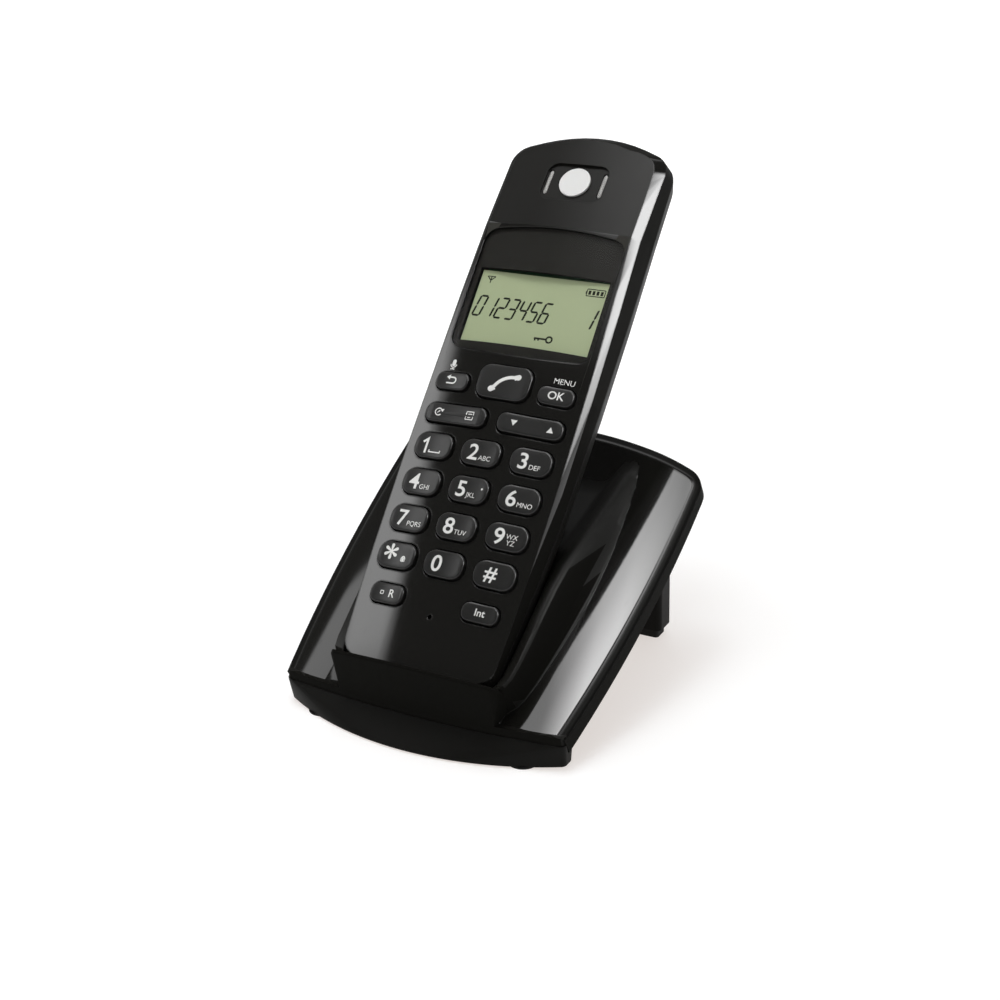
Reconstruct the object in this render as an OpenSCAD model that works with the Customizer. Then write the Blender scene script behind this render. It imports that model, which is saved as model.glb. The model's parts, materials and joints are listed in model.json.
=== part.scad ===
// Cordless phone on its charging base.
// Millimetres, +Z up, front of the phone towards -Y, origin on the desk under the middle of the whole.
// The handset is drawn in its own frame: x across, y from its bottom end to its top, z out of its face.
// The base slab is drawn in its own frame: x across, y up the slope from its front edge, z out of its top.

/* [Handset body] */
// Length of the handset
handset_l = 158.7; // [156:0.1:162]
// Width of the handset at its widest
handset_w = 48.6; // [48:0.1:50]
// Thickness of the handset at its thickest
handset_t = 21.5; // [21.2:0.1:22.5]
// Depth below the face at which the sides are widest
side_depth = 9; // [8.6:0.1:9.6]
// Radius of the long bow of each side
side_bow_r = 1480; // [1300:10:2000]
// Height up the handset at which it is widest
side_bow_y = 82.5; // [75:0.5:90]
// Radius of the arch over the top end
arch_r = 45; // [42:0.5:55]
// Radius of the corners in the handset's outline
outline_corner_r = 6; // [5:0.5:7]
// Radius of the bow of the bottom end
bottom_bow_r = 150; // [120:5:250]
// How far the back curves in from the sides
back_round = 16; // [14:0.5:16.5]
// How far the back curves in from the top end
top_round = 18; // [14:0.5:22]
// How far the back curves in from the bottom end
bottom_round = 28; // [26:0.5:30]
// Wall of the two handset covers
handset_wall = 1.8; // [1.7:0.05:1.9]

/* [Handset face] */
// Radius of the crown across the face
face_crown_r = 165; // [150:5:220]
// Half width of the face panel between the side bevels
panel_half_w = 22.4; // [22.2:0.1:22.8]
// Radius of the bow of the panel's sides
panel_bow_r = 1840; // [1700:10:2600]
// Height up the handset at which the panel is widest
panel_bow_y = 35; // [30:0.5:45]
// Width of the bevel along the ends of the face
end_bevel = 3.4; // [2.8:0.1:3.8]
// Depth of the lower edge of the bevels
bevel_depth = 3.6; // [3.4:0.1:3.9]
// Height of the crease above which the face leans back
crease_y = 129.5; // [129.3:0.1:131]
// Angle by which the face above the crease leans back
crease_angle = 5.5; // [4:0.25:5.75]
// Depth of the seam between the covers at the top
seam_depth = 8.5; // [7.8:0.1:8.8]
// Depth of the seam at the bottom end
seam_depth_low = 4.3; // [4.1:0.1:4.8]
// Height at which the seam starts to bend towards the face
seam_bend_y = 46; // [42:1:52]

/* [Keys] */
// Distance from column to column of the digit keys
key_pitch_x = 14.5; // [14.3:0.1:14.7]
// Distance from row to row of the digit keys
key_pitch_y = 10.4; // [10.2:0.1:10.5]
// Height of the row of keys 1 2 3
digit_row_y = 62.5; // [62.3:0.1:62.8]
// Width of a digit key
digit_w = 11.4; // [11:0.1:11.5]
// Height of a digit key
digit_h = 7.2; // [6.8:0.1:7.4]
// Width of the talk key
talk_w = 15.6; // [15:0.1:15.8]
// Height of the talk key
talk_h = 9.6; // [9.2:0.1:9.8]
// Width of the back and OK keys
soft_w = 10; // [9.6:0.1:10.2]
// Height of the back and OK keys
soft_h = 5; // [4.8:0.1:5.2]
// Width of the two rocker keys
rocker_w = 18.6; // [18:0.1:18.8]
// Height of the two rocker keys
rocker_h = 5.4; // [5:0.1:5.6]
// Distance from the digit row to the rockers
rocker_rise = 9.5; // [9.4:0.1:9.7]
// Distance from the digit row to the talk key
talk_rise = 20.3; // [20:0.1:20.6]
// Distance from the digit row to the back and OK keys
soft_rise = 18.8; // [18.6:0.1:19.2]
// Sideways place of the back and OK keys
soft_x = 15.5; // [15.4:0.1:15.6]
// Sideways place of the rockers
rocker_x = 11.1; // [11:0.1:11.2]
// How far the keys stand out of the face
key_proud = 1.2; // [0.8:0.1:1.6]
// Travel of the keys
key_travel = 0.5; // [0.3:0.05:0.55]
// Gap around a key in its opening
key_gap = 0.35; // [0.3:0.05:0.4]
// Width of the rim that keeps a key under the face
key_rim = 0.8; // [0.65:0.05:0.85]
// Depth of the dish in a key's top
key_dish = 0.4; // [0.2:0.05:0.5]

/* [Display and earpiece] */
// Half width of the display window
window_half_w = 21; // [20.6:0.1:21.2]
// Height of the lower edge of the window
window_y0 = 91; // [90.5:0.1:91.5]
// Height of the upper edge of the window
window_y1 = 129; // [128:0.1:129.1]
// Thickness of the window
window_t = 1; // [0.8:0.05:1.05]
// Width of the screen
lcd_w = 38.2; // [37:0.1:38.4]
// Height of the screen
lcd_h = 20.4; // [19.5:0.1:21]
// Height of the lower edge of the screen
lcd_y = 95; // [94.8:0.1:95.5]
// Width of the earpiece recess
ear_w = 18.6; // [18:0.1:19.4]
// Height of the earpiece recess
ear_h = 11.8; // [11.2:0.1:12.2]
// Height of the middle of the earpiece recess
ear_y = 144.2; // [143.8:0.1:144.6]
// Depth of the earpiece recess
ear_depth = 0.8; // [0.6:0.1:0.9]
// Radius of the plain disc in the recess
badge_r = 4.5; // [4:0.1:4.8]

/* [Battery] */
// Radius of an AAA cell
cell_r = 5.2; // [5:0.05:5.25]
// Length of an AAA cell
cell_l = 44.5; // [43.5:0.1:44.5]
// Height of the lower end of the cells
cell_y = 25; // [24:0.1:26]
// Half width of the battery door
door_half_w = 12.6; // [12.4:0.1:12.8]
// Height of the upper edge of the battery door
door_y1 = 75; // [74:0.5:78]
// Thickness of the battery door
door_t = 1.5; // [1.4:0.05:1.55]
// How far the door slides down to open
door_travel = 4; // [3:0.1:4.2]

/* [Base slab] */
// Half width of the slab at its front edge
base_front_half_w = 41.5; // [41:0.1:43]
// Half width of the slab at its widest
base_half_w = 46.4; // [46:0.1:48]
// Distance up the slope to the widest place
base_wide_y = 66; // [62:0.5:72]
// Length of the slab along its slope
base_l = 96.5; // [95.5:0.1:99]
// Radius of the bow of the rear edge
rear_bow_r = 125; // [110:1:160]
// Radius of the rear corners of the slab
base_corner_r = 7; // [6:0.5:8]
// Thickness of the slab's edge
slab_t = 6; // [5.8:0.1:6.4]
// Slope of the slab
slab_tilt = 29; // [28:0.25:30]
// Height of the slab's front edge above the desk
slab_front_z = 9.2; // [9:0.1:9.8]
// Half width of the flat top between the curved wings
wing_x = 29; // [28:0.5:31]
// Radius of the curve of the wings
wing_r = 80; // [70:1:120]
// Wall of the base covers
base_wall = 2; // [1.8:0.1:2.2]
// How far the lower cover's front edge lies in front of the slab
apron_y = 9.6; // [9.2:0.1:10.4]
// How far the lower cover's front edge bows
apron_bow = 11; // [10:0.1:12]
// How far the slab's front lip bows
lip_bow = 3; // [2.6:0.1:3.4]
// Height of the front lip
lip_h = 2.2; // [2:0.1:2.4]

/* [Cradle] */
// Slope of the docked handset from the horizontal
recline = 48; // [47.5:0.25:48.5]
// Height of the docked handset's bottom end above the desk
seat_z = 18.25; // [18.2:0.05:18.6]
// Distance of the docked handset's bottom end in front of the slab
seat_y = 5.3; // [5.1:0.1:5.5]
// Clearance around the docked handset
cradle_gap = 0.5; // [0.4:0.05:0.6]
// Wall around the cradle
cradle_wall = 1.7; // [1.5:0.1:1.9]
// How far the front wall of the cradle reaches up the handset
pocket_rise = 3.4; // [3:0.1:4]
// Height of the shoulders beside the handset where they are tallest
shoulder_h = 12; // [11:0.1:12.4]
// Sideways place of the shoulders' crests
shoulder_x = 26; // [25.8:0.1:26.4]
// Half width of the shoulders at their foot
shoulder_foot = 32; // [31.5:0.1:33]
// Depth of the shallow scoop between the shoulders
scoop_depth = 2.6; // [2:0.1:3]

/* [Under the base] */
// Half width of the housing under the slab
housing_half_w = 32; // [31:0.5:33]
// Depth of the housing below the slab's top
housing_t = 20; // [19.6:0.1:20.6]
// Distance of the housing's rear wall in front of the slab's rear edge
housing_in = 4.4; // [3.6:0.1:5]
// Width of a rear leg
leg_w = 14; // [13:0.5:14.5]
// Depth of a rear leg
leg_d = 8; // [7.5:0.1:9]
// Outer side of the rear legs, from the middle
leg_x = 34.5; // [34:0.1:35.5]
// Distance of the rear legs' rear sides in front of the slab's rear edge
leg_in = 2.4; // [2:0.1:2.8]
// Height of the rubber feet of the legs
foot_h = 2.8; // [2.4:0.1:3.2]
// Height of the front rubber pads
pad_h = 1.2; // [1:0.1:1.3]
// Radius of the page button
page_r = 3.5; // [3.2:0.1:3.8]
// Sideways place of the page button
page_x = 13.5; // [13:0.1:14]
// Travel of the page button
page_travel = 0.8; // [0.5:0.05:1]
// Width of the line socket
line_w = 12; // [11.6:0.1:12.4]
// Height of the line socket
line_h = 10.4; // [10:0.1:10.5]
// Width of the power socket
power_w = 10; // [9.6:0.1:10.4]
// Sideways place of the charge contacts
contact_x = 16.6; // [16.4:0.1:16.8]
// Radius of the charge contacts
contact_r = 1; // [0.9:0.05:1.1]

/* [Hidden] */

gap = 0.3;         // play between pieces that seat in each other
seam_gap = 0.15;   // line between two fixed covers
seat = 0.05;       // play under a piece that lies on another
eps = 0.01;
gloss_black = [0.05, 0.05, 0.05];
satin_black = [0.12, 0.12, 0.12];
key_grey = [0.2, 0.2, 0.21];
board_green = [0.1, 0.35, 0.2];
steel = [0.75, 0.75, 0.72];

// The back of the handset is drawn through these angles of its quarter ellipse
back_steps = [22, 40, 56, 72, 90];

// Stack below the handset's face
rim_z = -(handset_wall + crown_drop(rocker_x + rocker_w / 2 + key_rim) + 0.05);
rim_t = 0.8;
mat_z = rim_z - rim_t - key_travel - 0.1;
mat_t = 1.2;
board_z = mat_z - mat_t - seat;
board_t = 1.2;
board_under = board_z - board_t;
rocker_pivot_z = rim_z - 0.5;
rocker_gap = key_gap + 0.1;
lcd_z = -(handset_wall + crown_drop(lcd_w / 2 + 0.4) + 0.1);
lcd_t = 1.5;
board_half_w = handset_w / 2 - 4.9;
board_y0 = 12;
board_y1 = handset_l - 10.7;
mat_y0 = board_y0 + 3;
mat_y1 = window_y0 - 2;
mic_x = 0.5;
mic_y = digit_row_y - 45.2;
screw_x = 15;
screw_y = 122;
screw_z = -11;
screw_r = 1.1;
screw_head_r = 2.2;

// Battery compartment
cell_x = cell_r + 0.35;
cell_z = -(handset_t - door_t - 0.9 - cell_r);
bay_half_w = 2 * cell_x + 0.5;
bay_y0 = cell_y - 2.2;
bay_y1 = cell_y + cell_l + 2.2;
bay_wall = 0.8;
door_end_z = 13;

// Charge contacts, across the seam of handset and cradle
contact_z = -11.4;
pad_half = 1.2;
pad_y = 2.3;
boss_y = -1.8;
pin_collar_r = contact_r + 0.5;

// Places under the slab, from its rear edge
rear_y = base_l * cos(slab_tilt);
housing_y = rear_y - housing_in;
leg_y = rear_y - leg_in;
line_z = slab_under(housing_y, housing_t) + base_wall + 0.5;
base_board_half_w = housing_half_w - 6;
base_board_l = 30;
base_board_y = base_l - base_board_l - 22.5;
base_screw_x = housing_half_w - 6;
base_screw_y = 12;

// The shoulders' stations: [place as a share of the slab's length, height as a share of shoulder_h,
// how far the crest and the foot lie inside shoulder_x and shoulder_foot]
shoulder_stations = [[0.025, 0.72, 3.4, 8.6], [0.036, 0.79, 2.4, 7.2], [0.054, 0.81, 1.2, 5.8],
  [0.083, 0.805, 0.5, 4.6], [0.13, 0.83, 0.2, 3.5], [0.2, 0.89, 0, 2.4], [0.28, 0.96, 0, 1.4],
  [0.36, 1, 0, 0.6], [0.44, 0.97, 0, 0.1], [0.52, 0.85, 0, 0], [0.6, 0.68, 0, 0.1],
  [0.68, 0.5, 0.2, 0.5], [0.76, 0.33, 0.5, 1.1], [0.85, 0.15, 1, 2], [0.935, -0.06, 1.6, 3.2]];
shoulder_low = -0.6;
lip_half_w = base_front_half_w - 0.2;

// The whole is centred front to back
front_y = -apron_y;
back_y = max([for (a = back_steps) -seat_y + (handset_l - top_round * (1 - cos(a))) * cos(recline)
  + (side_depth + (handset_t - side_depth) * sin(a)) * sin(recline)]);
shift_y = -(front_y + back_y) / 2;

function crown_drop(x) = face_crown_r - sqrt(face_crown_r * face_crown_r - x * x);
function slab_top(y) = slab_front_z + y * tan(slab_tilt);
function slab_under(y, depth) = slab_top(y) - depth / cos(slab_tilt);

module on_base() {
  translate([0, shift_y, 0]) children();
}

module on_handset() {
  on_base() translate([0, -seat_y, seat_z]) rotate([recline, 0, 0]) children();
}

module on_slab() {
  on_base() translate([0, 0, slab_front_z]) rotate([slab_tilt, 0, 0]) children();
}

// ---------- handset ----------

module rounded_rect(w, h, r) {
  square([w - 2 * r, h], center = true);
  square([w, h - 2 * r], center = true);
  for (x = [-1, 1], y = [-1, 1])
    translate([x * (w / 2 - r), y * (h / 2 - r)]) circle(r, $fn = 32);
}

// A long outline with two bowed sides, an arched top end and a bowed bottom end
module long_outline(half_w, bow_r, bow_y, y0, y1) {
  offset(r = outline_corner_r, $fn = 32) offset(delta = -outline_corner_r) intersection() {
    translate([half_w - bow_r, bow_y]) circle(bow_r, $fn = 360);
    translate([bow_r - half_w, bow_y]) circle(bow_r, $fn = 360);
    translate([0, y0 + bottom_bow_r]) circle(bottom_bow_r, $fn = 180);
    union() {
      translate([0, y1 - arch_r]) circle(arch_r, $fn = 72);
      translate([-arch_r, y0]) square([2 * arch_r, y1 - y0 - arch_r * 0.9]);
    }
  }
}

module handset_outline(side_in, bottom_in, top_in) {
  long_outline(handset_w / 2 - side_in, side_bow_r, side_bow_y, bottom_in, handset_l - top_in);
}

module panel_outline(inset) {
  long_outline(panel_half_w - inset, panel_bow_r, panel_bow_y, end_bevel + inset,
    handset_l - end_bevel - inset);
}

// A thin plate of an outline that shrinks upwards or downwards into the hull around it
module plate(side, middle) {
  mirror([0, 0, side]) translate([0, middle, 0]) linear_extrude(0.2, scale = 0.95)
    translate([0, -middle]) children();
}

// Such a plate at a depth below the face, leaning back above the crease
module creased_plate(depth) {
  translate([0, 0, -depth]) plate(1, crease_y / 2) intersection() {
    children();
    translate([-50, -50]) square([100, crease_y + 50]);
  }
  translate([0, crease_y, 0]) rotate([-crease_angle, 0, 0]) translate([0, 0, -depth])
    plate(1, 15) intersection() {
      translate([0, -crease_y]) children();
      translate([-50, 0]) square([100, 50]);
    }
}

// Everything under the crowned face, moved in by inset
module under_face(inset) {
  intersection() {
    translate([0, -20, -face_crown_r]) rotate([-90, 0, 0])
      cylinder(r = face_crown_r - inset, h = handset_l + 40, $fn = 360);
    translate([0, crease_y, 0]) rotate([-crease_angle, 0, 0])
      translate([0, -handset_l, -face_crown_r]) rotate([-90, 0, 0])
        cylinder(r = face_crown_r - inset, h = 2 * handset_l, $fn = 360);
  }
}

// The handset as one solid, with every surface moved in by inset
module handset_solid(inset = 0) {
  intersection() {
    hull() {
      creased_plate(max(inset, 0) - 0.3) panel_outline(inset * 1.3);
      creased_plate(bevel_depth + inset * 0.5) handset_outline(inset, inset, inset);
      translate([0, 0, -side_depth]) plate(0, handset_l / 2) handset_outline(inset, inset, inset);
      for (a = back_steps)
        translate([0, 0, -side_depth - (handset_t - side_depth - inset) * sin(a)])
          plate(0, handset_l / 2) handset_outline(inset + (back_round - inset) * (1 - cos(a)),
            inset + (bottom_round - inset) * (1 - cos(a)),
            inset + (top_round - inset) * (1 - cos(a)));
    }
    under_face(inset);
  }
}

// Space on the face's side of the seam between the covers
module before_seam(back) {
  rotate([90, 0, 90]) translate([0, 0, -40]) linear_extrude(80)
    polygon([[-20, 10], [-20, back - seam_depth_low], [6, back - seam_depth_low],
      [seam_bend_y, back - seam_depth], [handset_l + 20, back - seam_depth],
      [handset_l + 20, 10]]);
}

// Place and size of every key: [across, up, width, height]
function digit_place(i) = [((i % 3) - 1) * key_pitch_x, digit_row_y - floor(i / 3) * key_pitch_y,
  digit_w, digit_h];
talk_place = [0, digit_row_y + talk_rise, talk_w, talk_h];
back_place = [-soft_x, digit_row_y + soft_rise, soft_w, soft_h];
ok_place = [soft_x, digit_row_y + soft_rise, soft_w, soft_h];
recall_place = [-key_pitch_x + 1, digit_row_y - 4 * key_pitch_y, soft_w, soft_h + 0.4];
intercom_place = [key_pitch_x - 0.6, digit_row_y - 4 * key_pitch_y, soft_w, soft_h];
list_place = [-rocker_x, digit_row_y + rocker_rise, rocker_w, rocker_h];
scroll_place = [rocker_x, digit_row_y + rocker_rise, rocker_w, rocker_h];
slide_places = concat([for (i = [0:11]) digit_place(i)],
  [talk_place, back_place, ok_place, recall_place, intercom_place]);

function key_corner(p) = min(p[3] * 0.42, 3.2);

module key_opening(p, play) {
  translate([p[0], p[1], rim_z - 1]) linear_extrude(8)
    rounded_rect(p[2] + 2 * play, p[3] + 2 * play, key_corner(p) + play);
}

// The shaft of a key, with a crowned and dished top
module key_shaft(p) {
  dish_r = (p[2] * p[2] / 4 + key_dish * key_dish) / (2 * key_dish);
  difference() {
    intersection() {
      translate([p[0], p[1], rim_z - rim_t]) linear_extrude(8)
        rounded_rect(p[2], p[3], key_corner(p));
      translate([0, p[1] - 15, -face_crown_r]) rotate([-90, 0, 0])
        cylinder(r = face_crown_r + key_proud, h = 30, $fn = 360);
    }
    translate([p[0], p[1], -crown_drop(p[0])]) rotate([0, asin(p[0] / face_crown_r), 0])
      translate([0, -15, key_proud - key_dish + dish_r]) rotate([-90, 0, 0])
        cylinder(r = dish_r, h = 30, $fn = 180);
  }
}

module slide_key(p) {
  color(key_grey) on_handset() {
    key_shaft(p);
    translate([p[0], p[1], rim_z - rim_t]) linear_extrude(rim_t)
      rounded_rect(p[2] + 2 * key_rim, p[3] + 2 * key_rim, key_corner(p) + key_rim);
  }
}

// A rocker has a round pivot under the face in place of the rim
module rocker_key(p) {
  color(key_grey) on_handset() {
    key_shaft(p);
    translate([p[0], p[1] - p[3] / 2 - key_rim, rocker_pivot_z]) rotate([-90, 0, 0])
      cylinder(r = 0.5, h = p[3] + 2 * key_rim, $fn = 32);
  }
}

module key_1() { slide_key(digit_place(0)); }
module key_2() { slide_key(digit_place(1)); }
module key_3() { slide_key(digit_place(2)); }
module key_4() { slide_key(digit_place(3)); }
module key_5() { slide_key(digit_place(4)); }
module key_6() { slide_key(digit_place(5)); }
module key_7() { slide_key(digit_place(6)); }
module key_8() { slide_key(digit_place(7)); }
module key_9() { slide_key(digit_place(8)); }
module key_star() { slide_key(digit_place(9)); }
module key_0() { slide_key(digit_place(10)); }
module key_hash() { slide_key(digit_place(11)); }
module key_talk() { slide_key(talk_place); }
module key_back() { slide_key(back_place); }
module key_ok() { slide_key(ok_place); }
module key_recall() { slide_key(recall_place); }
module key_intercom() { slide_key(intercom_place); }
module key_list_rocker() { rocker_key(list_place); }
module key_scroll_rocker() { rocker_key(scroll_place); }

module window_outline(grow) {
  offset(r = 4 + grow, $fn = 32) offset(delta = -4) intersection() {
    translate([-window_half_w, window_y0 - 1]) square([2 * window_half_w, window_y1 - window_y0 + 2]);
    translate([0, window_y1 - 130]) circle(130, $fn = 360);
    translate([0, window_y0 + 220]) circle(220, $fn = 360);
  }
}

module display_window() {
  color([0.1, 0.1, 0.1, 0.5]) on_handset() difference() {
    intersection() {
      translate([0, 0, -5]) linear_extrude(8) window_outline(0);
      under_face(0);
    }
    under_face(window_t);
  }
}

// Frame of the leaning upper face, at the middle of the earpiece
module on_earpiece() {
  translate([0, crease_y, 0]) rotate([-crease_angle, 0, 0])
    translate([0, ear_y - crease_y, 0]) children();
}

module earpiece_cut() {
  on_earpiece() {
    translate([0, 0, -ear_depth]) linear_extrude(5) rounded_rect(ear_w, ear_h, 3.2);
    for (x = [-1, 1]) translate([x * (ear_w / 2 - 1.1), 0, -5]) linear_extrude(8)
      rounded_rect(1.3, ear_h - 4, 0.6);
  }
}

module screw_posts(r, z0, z1) {
  for (x = [-screw_x, screw_x]) translate([x, screw_y, z0]) cylinder(r = r, h = z1 - z0, $fn = 48);
}

module handset_front_cover() {
  color(gloss_black) on_handset() difference() {
    union() {
      difference() {
        intersection() {
          handset_solid();
          before_seam(seam_gap);
        }
        handset_solid(handset_wall);
      }
      intersection() {
        screw_posts(2.4, screw_z, 0);
        under_face(handset_wall / 2);
      }
    }
    for (p = slide_places) key_opening(p, key_gap);
    for (p = [list_place, scroll_place]) key_opening(p, rocker_gap);
    difference() {
      translate([0, 0, -5]) linear_extrude(10) window_outline(seam_gap);
      under_face(window_t + seat);
    }
    translate([-lcd_w / 2 - 0.4, lcd_y - 0.8, -8]) cube([lcd_w + 0.8, lcd_h + 1.6, 10]);
    earpiece_cut();
    translate([mic_x, mic_y, -5]) cylinder(r = 0.6, h = 8, $fn = 24);
    screw_posts(screw_r + 0.05, screw_z - 1, -4);
  }
}

// Region of the back that the battery door takes
module door_region(play) {
  translate([-door_half_w - play, -20, -40])
    cube([2 * (door_half_w + play), door_y1 + 20 + play, 40 - door_end_z + play]);
}

module battery_door() {
  color(satin_black) on_handset() {
    intersection() {
      difference() {
        handset_solid();
        handset_solid(door_t);
      }
      door_region(0);
    }
    // finger ridges
    for (i = [0:4]) translate([-6, door_y1 - 10 + 1.6 * i, -handset_t - 0.3]) cube([12, 0.7, 0.6]);
  }
}

module battery_bay(wall) {
  translate([-bay_half_w - wall, bay_y0 - wall, -handset_t - 5])
    cube([2 * (bay_half_w + wall), bay_y1 - bay_y0 + 2 * wall, handset_t + 5 + cell_z + cell_r + 0.3 + wall]);
}

// What stands inside the rear cover: compartment walls, the floor under the door, screw posts
module rear_inside() {
  battery_bay(bay_wall);
  difference() {
    door_region(1.5);
    handset_solid(door_t + gap + 1.1);
  }
  screw_posts(3.4, -30, screw_z - seat);
}

module handset_rear_cover() {
  color(satin_black) on_handset() difference() {
    handset_solid();
    before_seam(0);
    difference() {
      handset_solid(handset_wall);
      rear_inside();
    }
    difference() {
      door_region(gap);
      handset_solid(door_t + gap);
    }
    battery_bay(0);
    for (i = [-2:2]) translate([-6, screw_y + 12 + 2.6 * i, -handset_t - 2]) cube([12, 1.2, 5]);
    screw_posts(2.6, -30, screw_z - 5);
    screw_posts(screw_r + 0.15, -30, 0);
    for (x = [-1, 1]) translate([x * contact_x - pad_half - seat, -1, contact_z - pad_half - seat])
      cube([2 * (pad_half + seat), 1 + pad_y + 0.7 + seat, 2 * (pad_half + seat)]);
  }
}

module handset_screws() {
  color(steel) on_handset() {
    screw_posts(screw_r, screw_z - 5, screw_z + 5);
    screw_posts(screw_head_r, screw_z - 6.4, screw_z - 5 - seat);
  }
}

module earpiece_badge() {
  color([0.9, 0.9, 0.88]) on_handset() on_earpiece() translate([0, 0.2, -ear_depth + seat])
    cylinder(r = badge_r, h = 0.6, $fn = 96);
}

module lcd_panel() {
  color([0.6, 0.65, 0.5]) on_handset() translate([-lcd_w / 2, lcd_y - 0.5, lcd_z - lcd_t])
    cube([lcd_w, lcd_h + 1, lcd_t]);
}

module lcd_frame() {
  color([0.85, 0.85, 0.82]) on_handset() translate([-lcd_w / 2, lcd_y - 0.5, board_z + seat])
    cube([lcd_w, lcd_h + 1, lcd_z - lcd_t - board_z - 2 * seat]);
}

module keypad_mat() {
  color([0.3, 0.3, 0.32]) on_handset() difference() {
    translate([-board_half_w, mat_y0, mat_z - mat_t])
      cube([2 * board_half_w, mat_y1 - mat_y0, mat_t]);
    translate([mic_x, mic_y, mat_z - mat_t - 1]) cylinder(r = 2.6, h = 4, $fn = 48);
  }
}

module handset_circuit_board() {
  color(board_green) on_handset() difference() {
    translate([-board_half_w, board_y0, board_under])
      cube([2 * board_half_w, board_y1 - board_y0, board_t]);
    screw_posts(2.8, -20, 0);
  }
}

module earpiece_speaker() {
  color(satin_black) on_handset() translate([0, ear_y, board_z + seat])
    cylinder(r = 6.5, h = 1.2, $fn = 64);
}

module microphone() {
  color(steel) on_handset() translate([mic_x, mic_y, board_z + seat])
    cylinder(r = 1.8, h = 2.6, $fn = 48);
}

module ringer_speaker() {
  color(satin_black) on_handset() translate([0, screw_y + 12, -handset_t + handset_wall + seat])
    cylinder(r = 8, h = 4, $fn = 64);
}

module battery_cells() {
  color([0.2, 0.4, 0.7]) on_handset() for (s = [-1, 1])
    translate([s * cell_x, cell_y, cell_z]) rotate([-90, 0, 0]) {
      cylinder(r = cell_r, h = cell_l - 1, $fn = 64);
      cylinder(r = 1.9, h = cell_l, $fn = 48);
    }
}

module battery_contacts() {
  color(steel) on_handset() for (s = [-1, 1]) {
    translate([s * cell_x - 3.5, bay_y0 + seat, cell_z - 3.5]) cube([7, 0.6, 7]);
    translate([s * cell_x, bay_y0 + seat, cell_z]) rotate([-90, 0, 0])
      cylinder(r1 = 3, r2 = 1.6, h = 2, $fn = 48);
    translate([s * cell_x - 3.5, bay_y1 - seat - 0.6, cell_z - 3.5]) cube([7, 0.6, 7]);
    translate([s * cell_x, bay_y1 - seat - 2, cell_z]) rotate([-90, 0, 0])
      cylinder(r = 1.6, h = 1.8, $fn = 48);
  }
}

module handset_charge_pads() {
  color(steel) on_handset() for (x = [-1, 1])
    translate([x * contact_x - pad_half, pad_y, contact_z - pad_half])
      cube([2 * pad_half, 0.7, 2 * pad_half]);
}

// ---------- base ----------

module slab_outline(inset) {
  bow = base_half_w - base_front_half_w;
  bow_r = (base_wide_y * base_wide_y + bow * bow) / (2 * bow);
  offset(r = base_corner_r - inset, $fn = 48) offset(delta = -base_corner_r) intersection() {
    translate([base_half_w - bow_r, base_wide_y]) circle(bow_r, $fn = 360);
    translate([bow_r - base_half_w, base_wide_y]) circle(bow_r, $fn = 360);
    translate([0, base_l - rear_bow_r]) circle(rear_bow_r, $fn = 360);
    translate([-60, -3 * base_corner_r]) square([120, base_l + 30]);
  }
}

// Section across the slab: flat in the middle, curving down along the wings
module wing_section(inset) {
  deep = slab_t + min(inset, 1);
  translate([-wing_x, -deep]) square([2 * wing_x, deep - inset]);
  for (s = [-1, 1]) intersection() {
    translate([s * wing_x, -wing_r]) circle(wing_r - inset, $fn = 360);
    translate([s > 0 ? wing_x - eps : -60, -deep]) square([60 - wing_x + eps, deep + 1]);
  }
}

module slab_solid(inset) {
  intersection() {
    translate([0, 0, -slab_t - 2]) linear_extrude(slab_t + 3) intersection() {
      slab_outline(inset);
      translate([-60, inset]) square([120, 120]);
    }
    translate([0, base_l + 10, 0]) rotate([90, 0, 0]) linear_extrude(base_l + 20)
      wing_section(inset);
  }
}

// One side of a station of the shoulders: up the outer slope, over the crest and into the scoop
function shoulder_side(low, h, crest, foot) = concat(
  [for (t = [1, 0.8, 0.6, 0.4, 0.2, 0])
    [crest + t * (foot - crest), low + (h - low) * (1 + cos(180 * t)) / 2]],
  [for (u = [0.35, 0.7, 1])
    [crest - 6 * u, h - min(scoop_depth, h - low - 0.05) * (1 - cos(180 * u)) / 2]]);

// A whole station; its last points but one lie under the middle
function shoulder_section(y, low, h, crest, foot) =
  let (side = shoulder_side(low, h, crest, foot), k = len(side)) concat(
    [for (i = [0:k - 1]) [-side[i][0], y, side[i][1]]],
    [for (i = [k - 1:-1:0]) [side[i][0], y, side[i][1]]],
    [[foot, y, -3.2], [0, y, -3.2], [-foot, y, -3.2]]);

// The shoulders that rise beside the cradle and fade towards the back
module shoulders(inset) {
  n = len(shoulder_stations);
  low = shoulder_low - inset;
  sections = [for (j = [0:n - 1]) let (s = shoulder_stations[j]) shoulder_section(
    s[0] * base_l + inset * (1 - 2 * j / (n - 1)), low,
    max(s[1] * shoulder_h - 1.1 * inset, low + 0.1),
    shoulder_x - s[2] - 0.3 * inset, shoulder_foot - s[3] - 0.9 * inset)];
  k = len(sections[0]);
  c = k - 2;
  polyhedron(points = [for (s = sections, p = s) p], faces = concat(
    [[for (i = [0:k - 1]) (c + i) % k]], [[for (i = [0:k - 1]) (n - 1) * k + (c - i + k) % k]],
    [for (j = [0:n - 2], i = [0:k - 1]) [j * k + i, (j + 1) * k + i, (j + 1) * k + (i + 1) % k]],
    [for (j = [0:n - 2], i = [0:k - 1]) [j * k + i, (j + 1) * k + (i + 1) % k, j * k + (i + 1) % k]]));
}

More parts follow.
